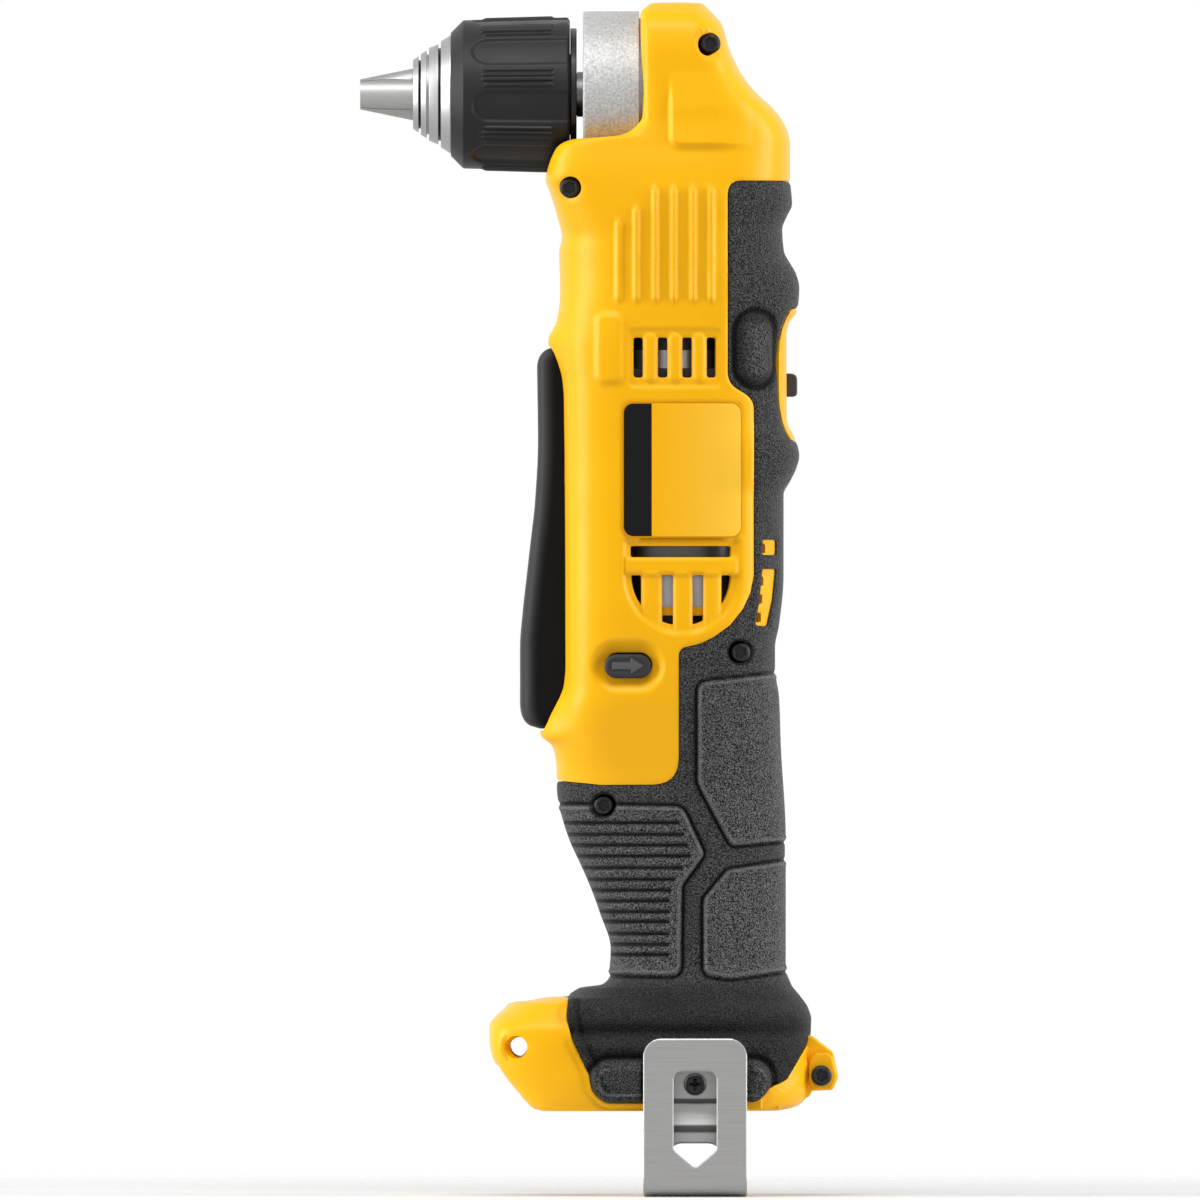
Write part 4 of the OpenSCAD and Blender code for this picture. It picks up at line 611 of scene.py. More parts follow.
for side in sides:
    label = skin_piece(side + "_label_film", side, label_keep, np.full(x.shape, label_rise), label_wall,
                       (0.25, 0.08), edge=np.clip(label_keep, 0, mark_limit))
    label.data.materials.append(film)
    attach(label, "housing")
    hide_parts(side + "_label")

# Housing screws: black-oxide steel screws with pan heads and six-lobe sockets, four down the left side
# and one through the foot's rear ear.


def solid_of(points, faces):
    """Closed solid from points in mm, with doubles joined and its faces turned outwards."""
    mesh = bpy.data.meshes.new("solid")
    mesh.from_pydata((np.array(points) * MM).tolist(), [], faces)
    solid = bmesh.new()
    solid.from_mesh(mesh)
    bpy.data.meshes.remove(mesh)
    bmesh.ops.remove_doubles(solid, verts=solid.verts, dist=1e-7)
    bmesh.ops.recalc_face_normals(solid, faces=solid.faces)
    return solid


def ring_faces(rows, n, closing=False):
    """Faces between rows of n points each, and from the last row to the first if closing."""
    starts = [(k * n, (k + 1) % rows * n) for k in range(rows if closing else rows - 1)]
    return [(a + i, a + (i + 1) % n, b + (i + 1) % n, b + i) for a, b in starts for i in range(n)]


def polar_solid(rings, place=(0, 0, 0), axes=((1, 0, 0), (0, 1, 0), (0, 0, 1))):
    """Closed solid from rings of (radius, fixed or by angle, height), with its own axes set at a place."""
    turns = np.linspace(0, 2 * math.pi, 48, endpoint=False)
    points = []
    for r, height in rings:
        radius = r(turns) if callable(r) else np.full(len(turns), float(r))
        points.append(np.stack([radius * np.cos(turns), radius * np.sin(turns), 0 * turns + height], 1))
    points = np.concatenate(points) @ np.array(axes, float) + place
    return solid_of(points, ring_faces(len(rings), len(turns)))


def mesh_of(name, solids, crease, flip=False):
    """One mesh of several solids, mirrored to the right side if asked, sharp where it bends past crease."""
    mesh = bpy.data.meshes.new(name)
    whole = bmesh.new()
    for solid in solids:
        solid.to_mesh(mesh)
        whole.from_mesh(mesh)
        solid.free()
    if flip:
        bmesh.ops.scale(whole, vec=(1, -1, 1), verts=whole.verts)
        bmesh.ops.reverse_faces(whole, faces=whole.faces)
    whole.to_mesh(mesh)
    whole.free()
    mesh.shade_smooth()
    mesh.set_sharp_from_angle(angle=math.radians(crease))
    return mesh


def lobes(scale):
    """Outline of a six-lobe socket."""
    return lambda t: scale * (1.2 + 0.16 * np.cos(6 * t))


polar_crease = 38
screw_head = mesh_of("screw_head", [polar_solid([
    (0, -1.3), (lobes(0.5), -1.3), (lobes(0.97), -1.3), (lobes(1), -1.2), (lobes(1.02), 0.0),
    (lobes(1.1), 0.08), (1.75, 0.06), (2.0, -0.06), (2.2, -0.3), (2.3, -0.7), (2.3, -2), (1.4, -2),
    (1.4, -9), (1.2, -9.4), (0, -9.4)])], polar_crease)
screw_seed = bpy.data.objects.new("screw_seed", screw_head)

screw_sink = 0.9
ear_screw = (33.2, -16, 7.8)
shell_y = (skin_points + skin_normals * shell_relief[..., None])[..., 1]
screw_spots = []
for place in screw_places:
    nearest = np.argmin(disc_off(x, z, place, 0) + 9.0 * (y > -5))
    screw_spots.append((place[0], float(shell_y.flat[nearest]) + screw_sink, place[1]))
screw_points = bpy.data.meshes.new("housing_screws")
screw_points.from_pydata((np.array(screw_spots + [ear_screw]) * MM).tolist(), [], [])
screws = shown("housing_screws_set", screw_points)

black_oxide = grain_material("black_oxide", (0.012, 0.012, 0.013), (0.024, 0.024, 0.026),
                             (0.0003, 0.002, 0.25, 0.5), (0.15, 0.00004), Metallic=0.6)

scatter = bpy.data.node_groups.new("screws_on_places", "GeometryNodeTree")
for key, kind in (("Places", "Geometry"), ("Screw", "Object"), ("Finish", "Material")):
    scatter.interface.new_socket(key, in_out="INPUT", socket_type="NodeSocket" + kind)
scatter.interface.new_socket("Screws", in_out="OUTPUT", socket_type="NodeSocketGeometry")
given, made = scatter.nodes.new("NodeGroupInput"), scatter.nodes.new("NodeGroupOutput")
shape, spread, real, paint = [scatter.nodes.new("GeometryNode" + kind) for kind in (
    "ObjectInfo", "InstanceOnPoints", "RealizeInstances", "SetMaterial")]
spread.inputs["Rotation"].default_value = (math.pi / 2, 0.35, 0)
wire(scatter, (given, "Places", spread, "Points"), (given, "Screw", shape, "Object"),
     (shape, "Geometry", spread, "Instance"), (spread, "Instances", real, "Geometry"),
     (real, "Geometry", paint, "Geometry"), (given, "Finish", paint, "Material"),
     (paint, "Geometry", made, "Screws"))
modifier = screws.modifiers.new("screws", "NODES")
modifier.node_group = scatter
screw_inputs = {"Screw": screw_seed, "Finish": black_oxide}
for item in scatter.interface.items_tree:
    if item.name in screw_inputs:
        modifier[item.identifier] = screw_inputs[item.name]
bpy.context.view_layer.update()
evaluated = screws.evaluated_get(bpy.context.evaluated_depsgraph_get())
screws.data = bpy.data.meshes.new_from_object(evaluated)
screws.modifiers.clear()
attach(screws, "housing")
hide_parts("housing_screws")

# Foot: the battery bay inside the two halves, with its rails, roof and stop wall, the bosses for the belt
# hook, the lanyard's bore and the ear behind, all moulded with the shells in yellow nylon.


def extruded(outline, low, high):
    """Solid of an outline in X and Z pushed along Y from low to high, in mm."""
    n = len(outline)
    faces = [tuple(range(n)), tuple(range(n, 2 * n))]
    faces += [((k - 1) % n, k, n + k, n + (k - 1) % n) for k in range(n)]
    return solid_of([(u, w, v) for w in (low, high) for u, v in outline], faces)


def block(low, high):
    """Box between two corners."""
    outline = [(low[0], low[2]), (high[0], low[2]), (high[0], high[2]), (low[0], high[2])]
    return extruded(outline, low[1], high[1])


def piece_of(name, solids, ease=0.0, flip=False, crease=35):
    """Piece of several solids, mirrored to the right side if asked, with eased edges."""
    piece = shown(name, mesh_of(name, solids, crease, flip))
    if ease:
        bevel = piece.modifiers.new("eased_edges", "BEVEL")
        bevel.width = ease * MM
        bevel.segments = 3
        bevel.limit_method = "ANGLE"
        bevel.angle_limit = math.radians(crease)
        bevel.harden_normals = True
    return piece


ear_outline = rounded([(29, 17.2, 0), (31.4, 16.4, 1), (35.9, 12.9, 1.5), (37, 7.4, 1.2), (35.8, 4.6, 1),
                       (31.2, 4.4, 0.6), (30.6, 3.2, 0.6), (28.5, 2.2, 0)])
ear_boss = rounded([(31.2, 12.8, 1.6), (34.6, 12.9, 1.2), (35.7, 11.8, 1.2), (36.8, 7.4, 1.2),
                    (35.7, 4.8, 1), (31.4, 4.6, 0.8), (30.4, 6.6, 1.2), (30.4, 10, 1.2)])
bay_roof, roof_top, rail_top, wall_top = 14.0, 15.6, 3.0, 14.5
bore_r, tube_r, tube_length = 2.55, 3.7, 24.5
to_the_left = ((1, 0, 0), (0, 0, 1), (0, -1, 0))
for side in sides:
    bay = piece_of(side + "_foot", [
        polar_solid([(bore_r, 0), (tube_r, 0), (tube_r, tube_length), (bore_r, tube_length), (bore_r, 0)],
                    (lanyard_place[0], 0, lanyard_place[1]), to_the_left),
        block((-20, -25, 0.4), (20, -17, rail_top)),
        block((-31, -22, bay_roof), (-6.2, 0, roof_top)),
        block((16.2, -20, bay_roof), (24, 0, roof_top)),
        block((-6.4, -24.6, bay_roof), (16.4, -13.2, roof_top)),
        block((22, -20.5, 0.4), (24, 0, wall_top)),
        block((0.1, -25.4, 0.5), (10.1, -20, wall_top)),
        ], 0.4, side == "right")
    ear = piece_of(side + "_ear", [extruded(ear_outline, -12.6, 0), extruded(ear_boss, -14, -12.4)], 0.75,
                   side == "right")
    for part in (bay, ear):
        part.data.materials.append(yellow)
        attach(part, "housing")
        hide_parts(side + "_housing")

# Belt hook: one strip of brushed stainless steel, folded round below the foot, screwed to the left side
# through a window in its outer leaf. The inner leaf steps out under the foot's edge.

hook_half, hook_middle, hook_sheet = 11.5, 5.1, 1.5
inner_y, step_y, outer_y = -27.35, -29.85, -36.85
inner_top, outer_top, hook_low = 12.0, 16.2, -18.9
step_high, step_low, hook_hole_z = 2.1, -4, 6
bend_r = (step_y - outer_y) / 2
bend_y, bend_z = (step_y + outer_y) / 2, hook_low + bend_r + hook_sheet / 2
path = [(inner_y, inner_top), (inner_y, step_high), (step_y, step_low), (step_y, bend_z)]
path += [(bend_y + bend_r * math.cos(t), bend_z + bend_r * math.sin(t))
         for t in np.linspace(0, -math.pi, 25)[1:]]
path = np.array(path + [(outer_y, outer_top)])


def length_along(line):
    """Length from the start of a line of points to each of them."""
    return np.concatenate([[0], np.cumsum(np.linalg.norm(np.diff(line, axis=0), axis=1))])


way = length_along(path)
along = np.linspace(0, way[-1], 260)
hook_y, hook_z = np.interp(along, way, path[:, 0]), np.interp(along, way, path[:, 1])
for _ in range(3):
    hook_y[1:-1] = (hook_y[:-2] + 2 * hook_y[1:-1] + hook_y[2:]) / 4
outward = np.stack([np.gradient(hook_z), -np.gradient(hook_y)], 1)
outward /= np.linalg.norm(outward, axis=1, keepdims=True)
grid_a, grid_x = np.meshgrid(along, np.linspace(-hook_half, hook_half, 100), indexing="ij")
grid_y, grid_z, toward_y, toward_z = [np.interp(grid_a, along, line) for line in (hook_y, hook_z, *outward.T)]
on_outer, on_inner = grid_a > way[-2], grid_a < way[3]
window = outline_off(grid_x, grid_z, rounded([(4.8, -8.6, 1.5), (4.8, 9, 2.2), (-4.8, 9, 2.2),
                                              (-4.8, -8.6, 1.5), (0, -12.6, 1.2)]))
leaf_half = hook_half + 1e-3
leaf = -box_off(grid_x, grid_z, (-leaf_half, -60), (leaf_half, outer_top), 4)
tongue = -box_off(grid_x, grid_z, (-leaf_half, -60), (leaf_half, inner_top), 3)
slot_gap = box_off(grid_x, grid_z, (-6, -13.4), (6, -7.1), 3.2)
screw_hole = disc_off(grid_x, grid_z, (0, hook_hole_z), 2.1)
hook_keep = np.where(on_outer, np.minimum(leaf, window),
                     np.where(on_inner, np.min([tongue, slot_gap, screw_hole], axis=0), 9.0))
thick = hook_sheet / 2 - round_edge(np.minimum(hook_keep, hook_half - np.abs(grid_x)), 0.35, 0.22)
# distance from the inner leaf's two bends, kept as the groove attribute for painted shade
creases = np.where(on_inner, np.minimum(np.abs(grid_z - step_high), np.abs(grid_z - step_low)), 5.0)
centre = np.stack([grid_x + hook_middle, grid_y, grid_z], -1)
toward = np.stack([0 * grid_x, toward_y, toward_z], -1) * thick[..., None]
sheet = np.concatenate([centre + toward, centre - toward, creases[..., None]], -1).reshape(-1, 7)
cut, triangles = cut_skin(sheet, grid_triangles(*grid_a.shape), hook_keep.ravel() + 1e-4)
hook = walled_piece("belt_hook_strip", cut, triangles, "groove")


def brushed_metal(name, base, stretch, rough, bump_depth, scratches=0.3):
    """Metal with fine brush lines: stretch gives the lines' scale along X, Y and Z."""
    material, tree, shader = new_material(name, Metallic=1.0)
    coord = add(tree, "TexCoord")
    scale = add(tree, "Mapping", Scale=stretch)
    lines = add(tree, "TexNoise", Scale=1, Detail=4, Roughness=0.65)
    soft = add(tree, "TexNoise", Scale=90, Detail=3)
    rough_map = ramp(tree, 0, 1, *rough, "LINEAR")
    tone_map = ramp(tree, 0, 1, 1 - scratches, 1, "LINEAR")
    tone = mix_of(tree, base)
    tone.blend_type = "MULTIPLY"
    tone.inputs["Factor"].default_value = 1
    bump = add(tree, "Bump", Strength=0.5, Distance=bump_depth)
    wire(tree, (coord, "Object", scale, 0), (scale, 0, lines, "Vector"), (coord, "Object", soft, "Vector"),
         (soft, "Fac", rough_map, "Value"), (lines, "Fac", tone_map, "Value"),
         (tone_map, "Result", tone, "B"), (tone, "Result", shader, "Base Color"),
         (rough_map, "Result", shader, "Roughness"), (lines, "Fac", bump, "Height"),
         (bump, "Normal", shader, "Normal"))
    return material


def marked(material, mark, limits, colour=(0, 0, 0), kind="SMOOTHSTEP"):
    """Mix a colour into a material's own, by an attribute of its piece; limits are those of a ramp."""
    tree = material.node_tree
    shader = tree.nodes["Principled BSDF"]
    own = shader.inputs["Base Color"].links[0].from_node
    place = add(tree, "Attribute", attribute_name=mark)
    share = ramp(tree, *limits, kind)
    tone = mix_of(tree, high=colour)
    wire(tree, (place, "Fac", share, "Value"), (share, "Result", tone, "Factor"), (own, "Result", tone, "A"),
         (tone, "Result", shader, "Base Color"))


# painted shade in the two creases of the inner leaf: the steel's colour darkens along its bends
hook_steel = brushed_metal("brushed_stainless", (0.38, 0.377, 0.372), (60, 900, 3500), (0.34, 0.46), 0.00002)
marked(hook_steel, "groove", (0.45, 1.0, 0.8, 0))
hook.data.materials.append(hook_steel)
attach(hook, "housing")
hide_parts("belt_hook")

# Hook screw: a black cross-head screw that holds the belt hook to a brass insert in the foot; a second
# insert on the right takes the hook when it changes sides.


def cross(scale):
    """Outline of a cross recess."""
    def radius(t):
        arm = np.abs((t + math.pi / 4) % (math.pi / 2) - math.pi / 4)
        return scale * np.minimum(1.35, 0.36 / np.maximum(np.sin(arm), 0.2))
    return radius


head_height = 1.4
hook_screw = piece_of("hook_screw", [polar_solid([
    (0, -1.1), (cross(0.4), -1.0), (cross(0.85), -0.5), (cross(1), 0.0), (1.75, 0.02), (2.1, -0.1),
    (2.35, -0.35), (2.4, -0.8), (2.4, -1.5), (1.95, -1.5), (1.95, -12), (0, -12)],
    (hook_middle, inner_y - hook_sheet / 2 - head_height, hook_hole_z), to_the_left)], crease=polar_crease)
hook_screw.data.materials.append(black_oxide)
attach(hook_screw, "housing")
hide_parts("belt_hook_screw")


def dress(material, *nodes):
    """New finish for nodes that keep their CAD shape."""
    for node in nodes:
        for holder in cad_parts[node].material_slots:
            holder.material = material


brass = grain_material("brass", (0.75, 0.5, 0.2), (0.62, 0.38, 0.14), (0.0002, 0.003, 0.25, 0.45),
                       (0.1, 0.00002), Metallic=1.0)
dress(brass, "hook_nuts")

# Work light: a clear acrylic window in the slope of the foot's front with a white lamp on a small green
# board behind it.

clear = grain_material("clear_acrylic", (0.9, 0.93, 0.95), (0.86, 0.9, 0.92), (0.0004, 0.003, 0.06, 0.14),
                       (0.03, 0.00002), Transmission_Weight=0.85, IOR=1.49)
light_way = np.array([-math.sin(light_turn), 0, math.cos(light_turn)])
light_axes = (np.cross([0, 1, 0], light_way), (0, 1, 0), light_way)
window_pane = piece_of("light_window", [polar_solid([
    (0, -1.4), (2.9, -1.4), (2.9, -0.4), (2.65, -0.2), (1.5, -0.1), (0, -0.08)],
    (light_x, 0, light_z), light_axes)], crease=polar_crease)
window_pane.data.materials.append(clear)
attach(window_pane, "housing")
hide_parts("work_light_lens")
board = grain_material("green_board", (0.02, 0.12, 0.04), (0.03, 0.17, 0.06), (0.0003, 0.002, 0.35, 0.55),
                       (0.1, 0.00003))
dress(board, "work_light_board")

# Battery contacts: tinned copper blades pressed into a black nylon block that hangs through the bay's roof,
# and the red leads to the switch and the motor.

black_nylon = grain_material("black_nylon", (0.012, 0.012, 0.012), (0.02, 0.02, 0.021),
                             (0.0004, 0.01, 0.4, 0.55), (0.2, 0.00005))
dress(black_nylon, "terminal_block", "trigger_switch", "gearbox_sleeve", "cooling_fan", "brush_holders")
copper = grain_material("copper", (0.72, 0.32, 0.16), (0.6, 0.24, 0.11), (0.00025, 0.003, 0.28, 0.45),
                        (0.15, 0.00003), Metallic=1.0)
dress(copper, "terminal_blades", "armature_windings", "commutator")
lead_red = grain_material("red_lead", (0.5, 0.02, 0.015), (0.4, 0.015, 0.01), (0.0005, 0.006, 0.35, 0.5),
                          (0.1, 0.00005))
dress(lead_red, "battery_leads", "motor_leads")

# Trigger paddle: a long glossy black moulding hung on a steel pin at its top, bowed to the hand, with rounded
# front corners; its front is coloured grey as a painted highlight.

paddle_low, paddle_high = 84.9, 169.7
paddle_face = smooth_line([
    (paddle_low, -29.4), (85.7, -31.8), (87, -33), (88.6, -33.6), (90.5, -33.8), (103, -33.8), (111, -33.2),
    (119, -32.3), (127, -31.4), (135, -30.5), (149, -29.8), (158, -29.9), (165.5, -30), (167, -29.7),
    (168.4, -28.9), (169.3, -27.7), (paddle_high, -26.4)])
paddle_back = smooth_line([
    (paddle_low, -26), (85.7, -24.2), (87.5, -23.2), (90, -22.8), (97, -22.6), (106, -22.9), (113, -22.5),
    (120, -22.4), (130, -21.9), (161, -21.8), (168.9, -22.6), (paddle_high, -24)])
paddle_half, paddle_corner, back_corner = 11.0, 5.2, 0.8
end_rows = np.linspace(0, 1, 24)
paddle_z = np.concatenate([paddle_low + 5.4 * end_rows ** 2, np.linspace(90.8, 165.5, 120),
                           paddle_high - 3.9 * end_rows[::-1] ** 2])
paddle_shares = np.linspace(0, 1, 180, endpoint=False)
paddle_points = []
for height in paddle_z:
    face, back = float(paddle_face(height)), float(paddle_back(height))
    from_end = max(0, min(height - paddle_low, paddle_high - height))
    half = paddle_half - 1.6 * (1 - min(1.0, math.sqrt(from_end / 2.2 + 0.05)))
    corner = min(paddle_corner, (back - face) * 0.45)
    section = rounded([(face, -half, corner), (face, half, corner), (back, half, back_corner),
                       (back, -half, back_corner)], 12)
    loop = np.array(section + section[:1])
    way = length_along(loop)
    share = paddle_shares * way[-1]
    paddle_points.append(np.stack([*[np.interp(share, way, line) for line in loop.T], 0 * share + height], 1))
paddle_points = np.concatenate(paddle_points)
n, rows = len(paddle_shares), len(paddle_z)
paddle_ends = [tuple(range(n)), tuple(range((rows - 1) * n, rows * n))]
paddle_solid = solid_of(paddle_points, ring_faces(rows, n) + paddle_ends)
paddle = piece_of("trigger_paddle_shell", [paddle_solid], crease=50)
# painted highlight: the front's colour turns grey, fading out over a few mm towards the back
painted_front_highlight = rise(paddle_points[:, 0] - paddle_face(paddle_points[:, 2]) - 2.4, 3.4)
paddle.data.attributes.new("painted_front_highlight", "FLOAT", "POINT").data.foreach_set("value", painted_front_highlight)
gloss_black = grain_material("gloss_black", (0.003, 0.003, 0.0032), (0.005, 0.005, 0.0053),
                             (0.0006, 0.015, 0.38, 0.48), (0.05, 0.00004), Specular_IOR_Level=0.08,
                             Sheen_Weight=0.1, Sheen_Roughness=0.2)
marked(gloss_black, "painted_front_highlight", (0, 1, 0, 1), (0.045, 0.045, 0.046), "LINEAR")
paddle.data.materials.append(gloss_black)
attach(paddle, "trigger")
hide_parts("trigger_paddle")

bright_steel = brushed_metal("bright_steel", (0.42, 0.42, 0.42), (1500, 1500, 90), (0.36, 0.48), 0.000008,
                             0.2)
dress(bright_steel, "trigger_pivot_pin", "armature_shaft", "shift_link", "output_spindle", "bearings")
can_steel = brushed_metal("can_steel", (0.2, 0.2, 0.2), (60, 60, 1500), (0.42, 0.55), 0.000006, 0.3)
dress(can_steel, "motor_can")
ivory = grain_material("ivory_acetal", (0.75, 0.7, 0.58), (0.68, 0.63, 0.5), (0.0004, 0.006, 0.3, 0.45),
                       (0.1, 0.00004))
dress(ivory, "switch_plunger")

# Reversing button: a grey nylon bar through the body, with a plain arrow raised on each end. A wider
# black block on its middle slides with it and keeps it in the housing.

arrow = rounded([(-3.4, -0.75, 0.25), (0.7, -0.75, 0), (0.7, -1.75, 0.2), (3.5, 0, 0.3), (0.7, 1.75, 0.2),
                 (0.7, 0.75, 0), (-3.4, 0.75, 0.25)])
button_reach = 23.4
button_u, button_v = np.meshgrid(np.linspace(-5.3, 5.3, 130), np.linspace(-2.8, 2.8, 70), indexing="ij")
button_edge = -line_off(button_u, button_v, (-2.5, 0), (2.5, 0), 2.7)
arrow_off = outline_off(button_u, button_v, arrow)
button_rise = button_reach - round_edge(button_edge, 0.7, 0.55)
button_rise += 0.22 * rise(arrow_off, 0.3) - 0.12 * line_mark(arrow_off - 0.35, 0.25)
button_cuts, button_triangles, count = [], [], 0
for sign in (-1, 1):
    flat = np.stack([button_x + button_u, sign * button_rise, button_z + button_v], -1)
    columns = np.concatenate([flat, flat * [1, 0, 1], arrow_off[..., None]], -1).reshape(-1, 7)
    cut, triangles = cut_skin(columns, grid_triangles(*button_u.shape), button_edge.ravel())
    button_triangles.append(count + (triangles[:, ::-1] if sign > 0 else triangles))
    button_cuts.append(cut)
    count += len(cut)
button = walled_piece("reversing_bar", np.concatenate(button_cuts), np.concatenate(button_triangles), "arrow")
button_nylon = grain_material("button_nylon", (0.024, 0.025, 0.027), (0.034, 0.035, 0.038),
                              (0.0004, 0.008, 0.4, 0.55), (0.2, 0.00004), Specular_IOR_Level=0.2)
marked(button_nylon, "arrow", (-0.15, 0.1, 1, 0), (0.085, 0.085, 0.087))
button.data.materials.append(button_nylon)
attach(button, "reverser")
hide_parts("reversing_button")

detent_corners = [(-6.1, -3.6), (6.1, -3.6), (6.1, 3.6), (-6.1, 3.6)]
detent_outline = rounded([(button_x + u, button_z + v, 3.5) for u, v in detent_corners])
detent = piece_of("reversing_detent", [extruded(detent_outline, -17.5, 17.5)], 0.4)
detent.data.materials.append(black_nylon)
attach(detent, "reverser")
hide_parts("reversing_button")

# Speed selector: a grey slider in a yellow plate on the spine; its steel link moves the second ring gear.
# The plate is moulded as a frame, and the slider is held behind it by a wider foot.

plate_in, plate_out = 22.6, 24.4
plate = piece_of("selector_saddle", [
    block((plate_in, -5, 151.2), (plate_out, 5, 158)), block((plate_in, -5, 169.0), (plate_out, 5, 173.8)),
    block((plate_in, -5, 157.9), (plate_out, -2.6, 169.1)),
    block((plate_in, 2.6, 157.9), (plate_out, 5, 169.1))], 0.35)
plate.data.materials.append(yellow)
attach(plate, "housing")
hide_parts("selector_plate")

slider_outline = rounded([(22.2, 158.7, 0), (27.9, 158.7, 1.1), (27.9, 163.9, 1.6), (22.2, 163.9, 0)])
slider = piece_of("selector_slider", [block((21.5, -4.2, 156), (22.4, 4.2, 166)),
                                      extruded(slider_outline, -2.5, 2.5)], 0.45)
slider_nylon = grain_material("slider_nylon", (0.034, 0.035, 0.038), (0.05, 0.051, 0.055),
                              (0.0004, 0.008, 0.38, 0.5), (0.2, 0.00004), Specular_IOR_Level=0.3)
slider.data.materials.append(slider_nylon)
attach(slider, "selector")
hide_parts("speed_selector")

# Motor and gears: steel laminations, ferrite magnets, carbon brushes on springs, sintered gears and cast
# aluminium plates, seen through the vents.

gear_steel = brushed_metal("gear_steel", (0.42, 0.42, 0.43), (800, 800, 800), (0.28, 0.45), 0.00002)
dress(gear_steel, "shift_ring", "motor_pinion", "first_ring_gear", "first_carrier", "first_planet_a",
      "first_planet_b", "first_planet_c", "second_carrier", "bevel_pinion", "second_planet_a",
      "second_planet_b", "second_planet_c", "bevel_crown_gear", "brush_springs", "armature_core",
      "motor_mount_plate")
cup_in, cup_out, cup_low, cup_high = 15.6, 18, 106, 120
end_bell = piece_of("end_bell_cup", [polar_solid([
    (cup_in, cup_low), (cup_out, cup_low), (cup_out, cup_high), (cup_in, cup_high), (cup_in, cup_low)])],
    crease=polar_crease)
end_bell.data.materials.append(black_nylon)
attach(end_bell, "housing")
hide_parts("motor_end_bell")
covers = piece_of("brush_covers", [block((-3.2, middle - 0.5, 111.4), (7.8, middle + 0.5, 119))
                                   for middle in (-18.6, 18.6)], 0.2)
covers.data.materials.append(gear_steel)
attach(covers, "housing")
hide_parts("motor_end_bell")
for side in sides:
    right = side == "right"
    bar = piece_of(side + "_vent_bar", [block((-9.6, -21.4, 110), (14, -19.3, 111.9))], 0.2, right)
    # black baffle behind the upper vents: a dark part put where the yellow shell's inside would lie in
    # shadow, as painted shade; it also blocks the view through the body
    shade_baffle = piece_of(side + "_fan_baffle", [block((-11, -20, 159.4), (13, -18.2, 164.95))], 0.2, right)
    for part, finish, slot in ((bar, yellow, "yellow_shell"), (shade_baffle, black_nylon, "black_nylon")):
        part.data.materials.append(finish)
        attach(part, "housing")
        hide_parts(side + "_housing")
ferrite = grain_material("ferrite", (0.03, 0.03, 0.033), (0.05, 0.05, 0.055), (0.0003, 0.004, 0.5, 0.7),
                         (0.3, 0.00006))
dress(ferrite, "motor_magnets")
carbon = grain_material("carbon", (0.015, 0.015, 0.016), (0.03, 0.03, 0.031), (0.0002, 0.002, 0.5, 0.7),
                        (0.3, 0.00004))
dress(carbon, "carbon_brushes")
cast = grain_material("cast_aluminium", (0.55, 0.55, 0.55), (0.48, 0.48, 0.48), (0.0005, 0.006, 0.4, 0.55),
                      (0.35, 0.00008), Metallic=1.0)
dress(cast, "motor_front_plate", "switch_heat_sink")

# Gear case: cast aluminium, blasted to a fine matt grain, with a turned nose that carries the front bearing.
# Its rear end sits between the housing halves.


def turned(outline, columns, relief=None):
    """Solid turned about the chuck's axis from an outline in X and radius; angle 0 faces left, pi / 2 up."""
    angles = np.arange(columns) * 2 * math.pi / columns
    px, pr = np.array(outline, float).T[:, :, None]
    r = pr + (relief(px, angles[None, :], pr) if relief else 0 * angles)
    points = np.stack([px + 0 * r, -r * np.cos(angles), spindle_z + r * np.sin(angles)], -1).reshape(-1, 3)
    return solid_of(points, ring_faces(len(outline), columns, True))


case_nose = rounded([
    (-19.8, 13.2, 0.3), (-19.8, 18.5, 0.7), (-7.3, 18.5, 0.2), (-7.3, 17, 0), (3.9, 17, 0.5), (3.9, 8, 0),
    (9.4, 8, 0.5), (9.4, 6, 0), (0.5, 6, 0), (0.5, 14.6, 0), (-11.2, 14.6, 0), (-11.2, 9, 0), (-17.6, 9, 0),
    (-17.6, 13.2, 0.3)])
blasted, tree, shader = new_material("blasted_aluminium", Metallic=0.35)
coord = add(tree, "TexCoord")
speck = add(tree, "TexVoronoi", Scale=2600)
fine = add(tree, "TexNoise", Scale=1900, Detail=3)
tone = ramp(tree, 0.3, 0.7, 0.5, 1, "LINEAR")
colour = mix_of(tree, (0.1, 0.1, 0.1), (0.56, 0.56, 0.555))
rough = ramp(tree, 0, 1, 0.42, 0.6, "LINEAR")
bump = add(tree, "Bump", Strength=0.45, Distance=0.00012)
wire(tree, (coord, "Object", speck, "Vector"), (coord, "Object", fine, "Vector"),
     (fine, "Fac", tone, "Value"), (tone, "Result", colour, "Factor"),
     (colour, "Result", shader, "Base Color"), (speck, "Distance", rough, "Value"),
     (rough, "Result", shader, "Roughness"), (fine, "Fac", bump, "Height"),
     (bump, "Normal", shader, "Normal"))
case = piece_of("gear_case_nose", [turned(case_nose, 128)])
case.data.materials.append(blasted)
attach(case, "housing")
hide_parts("gear_case")

# Chuck: a keyless drill chuck: bright turned steel body with a stepped nose and a rear flange, a black
# moulded sleeve with ribbed and smooth flutes, and three steel jaws.

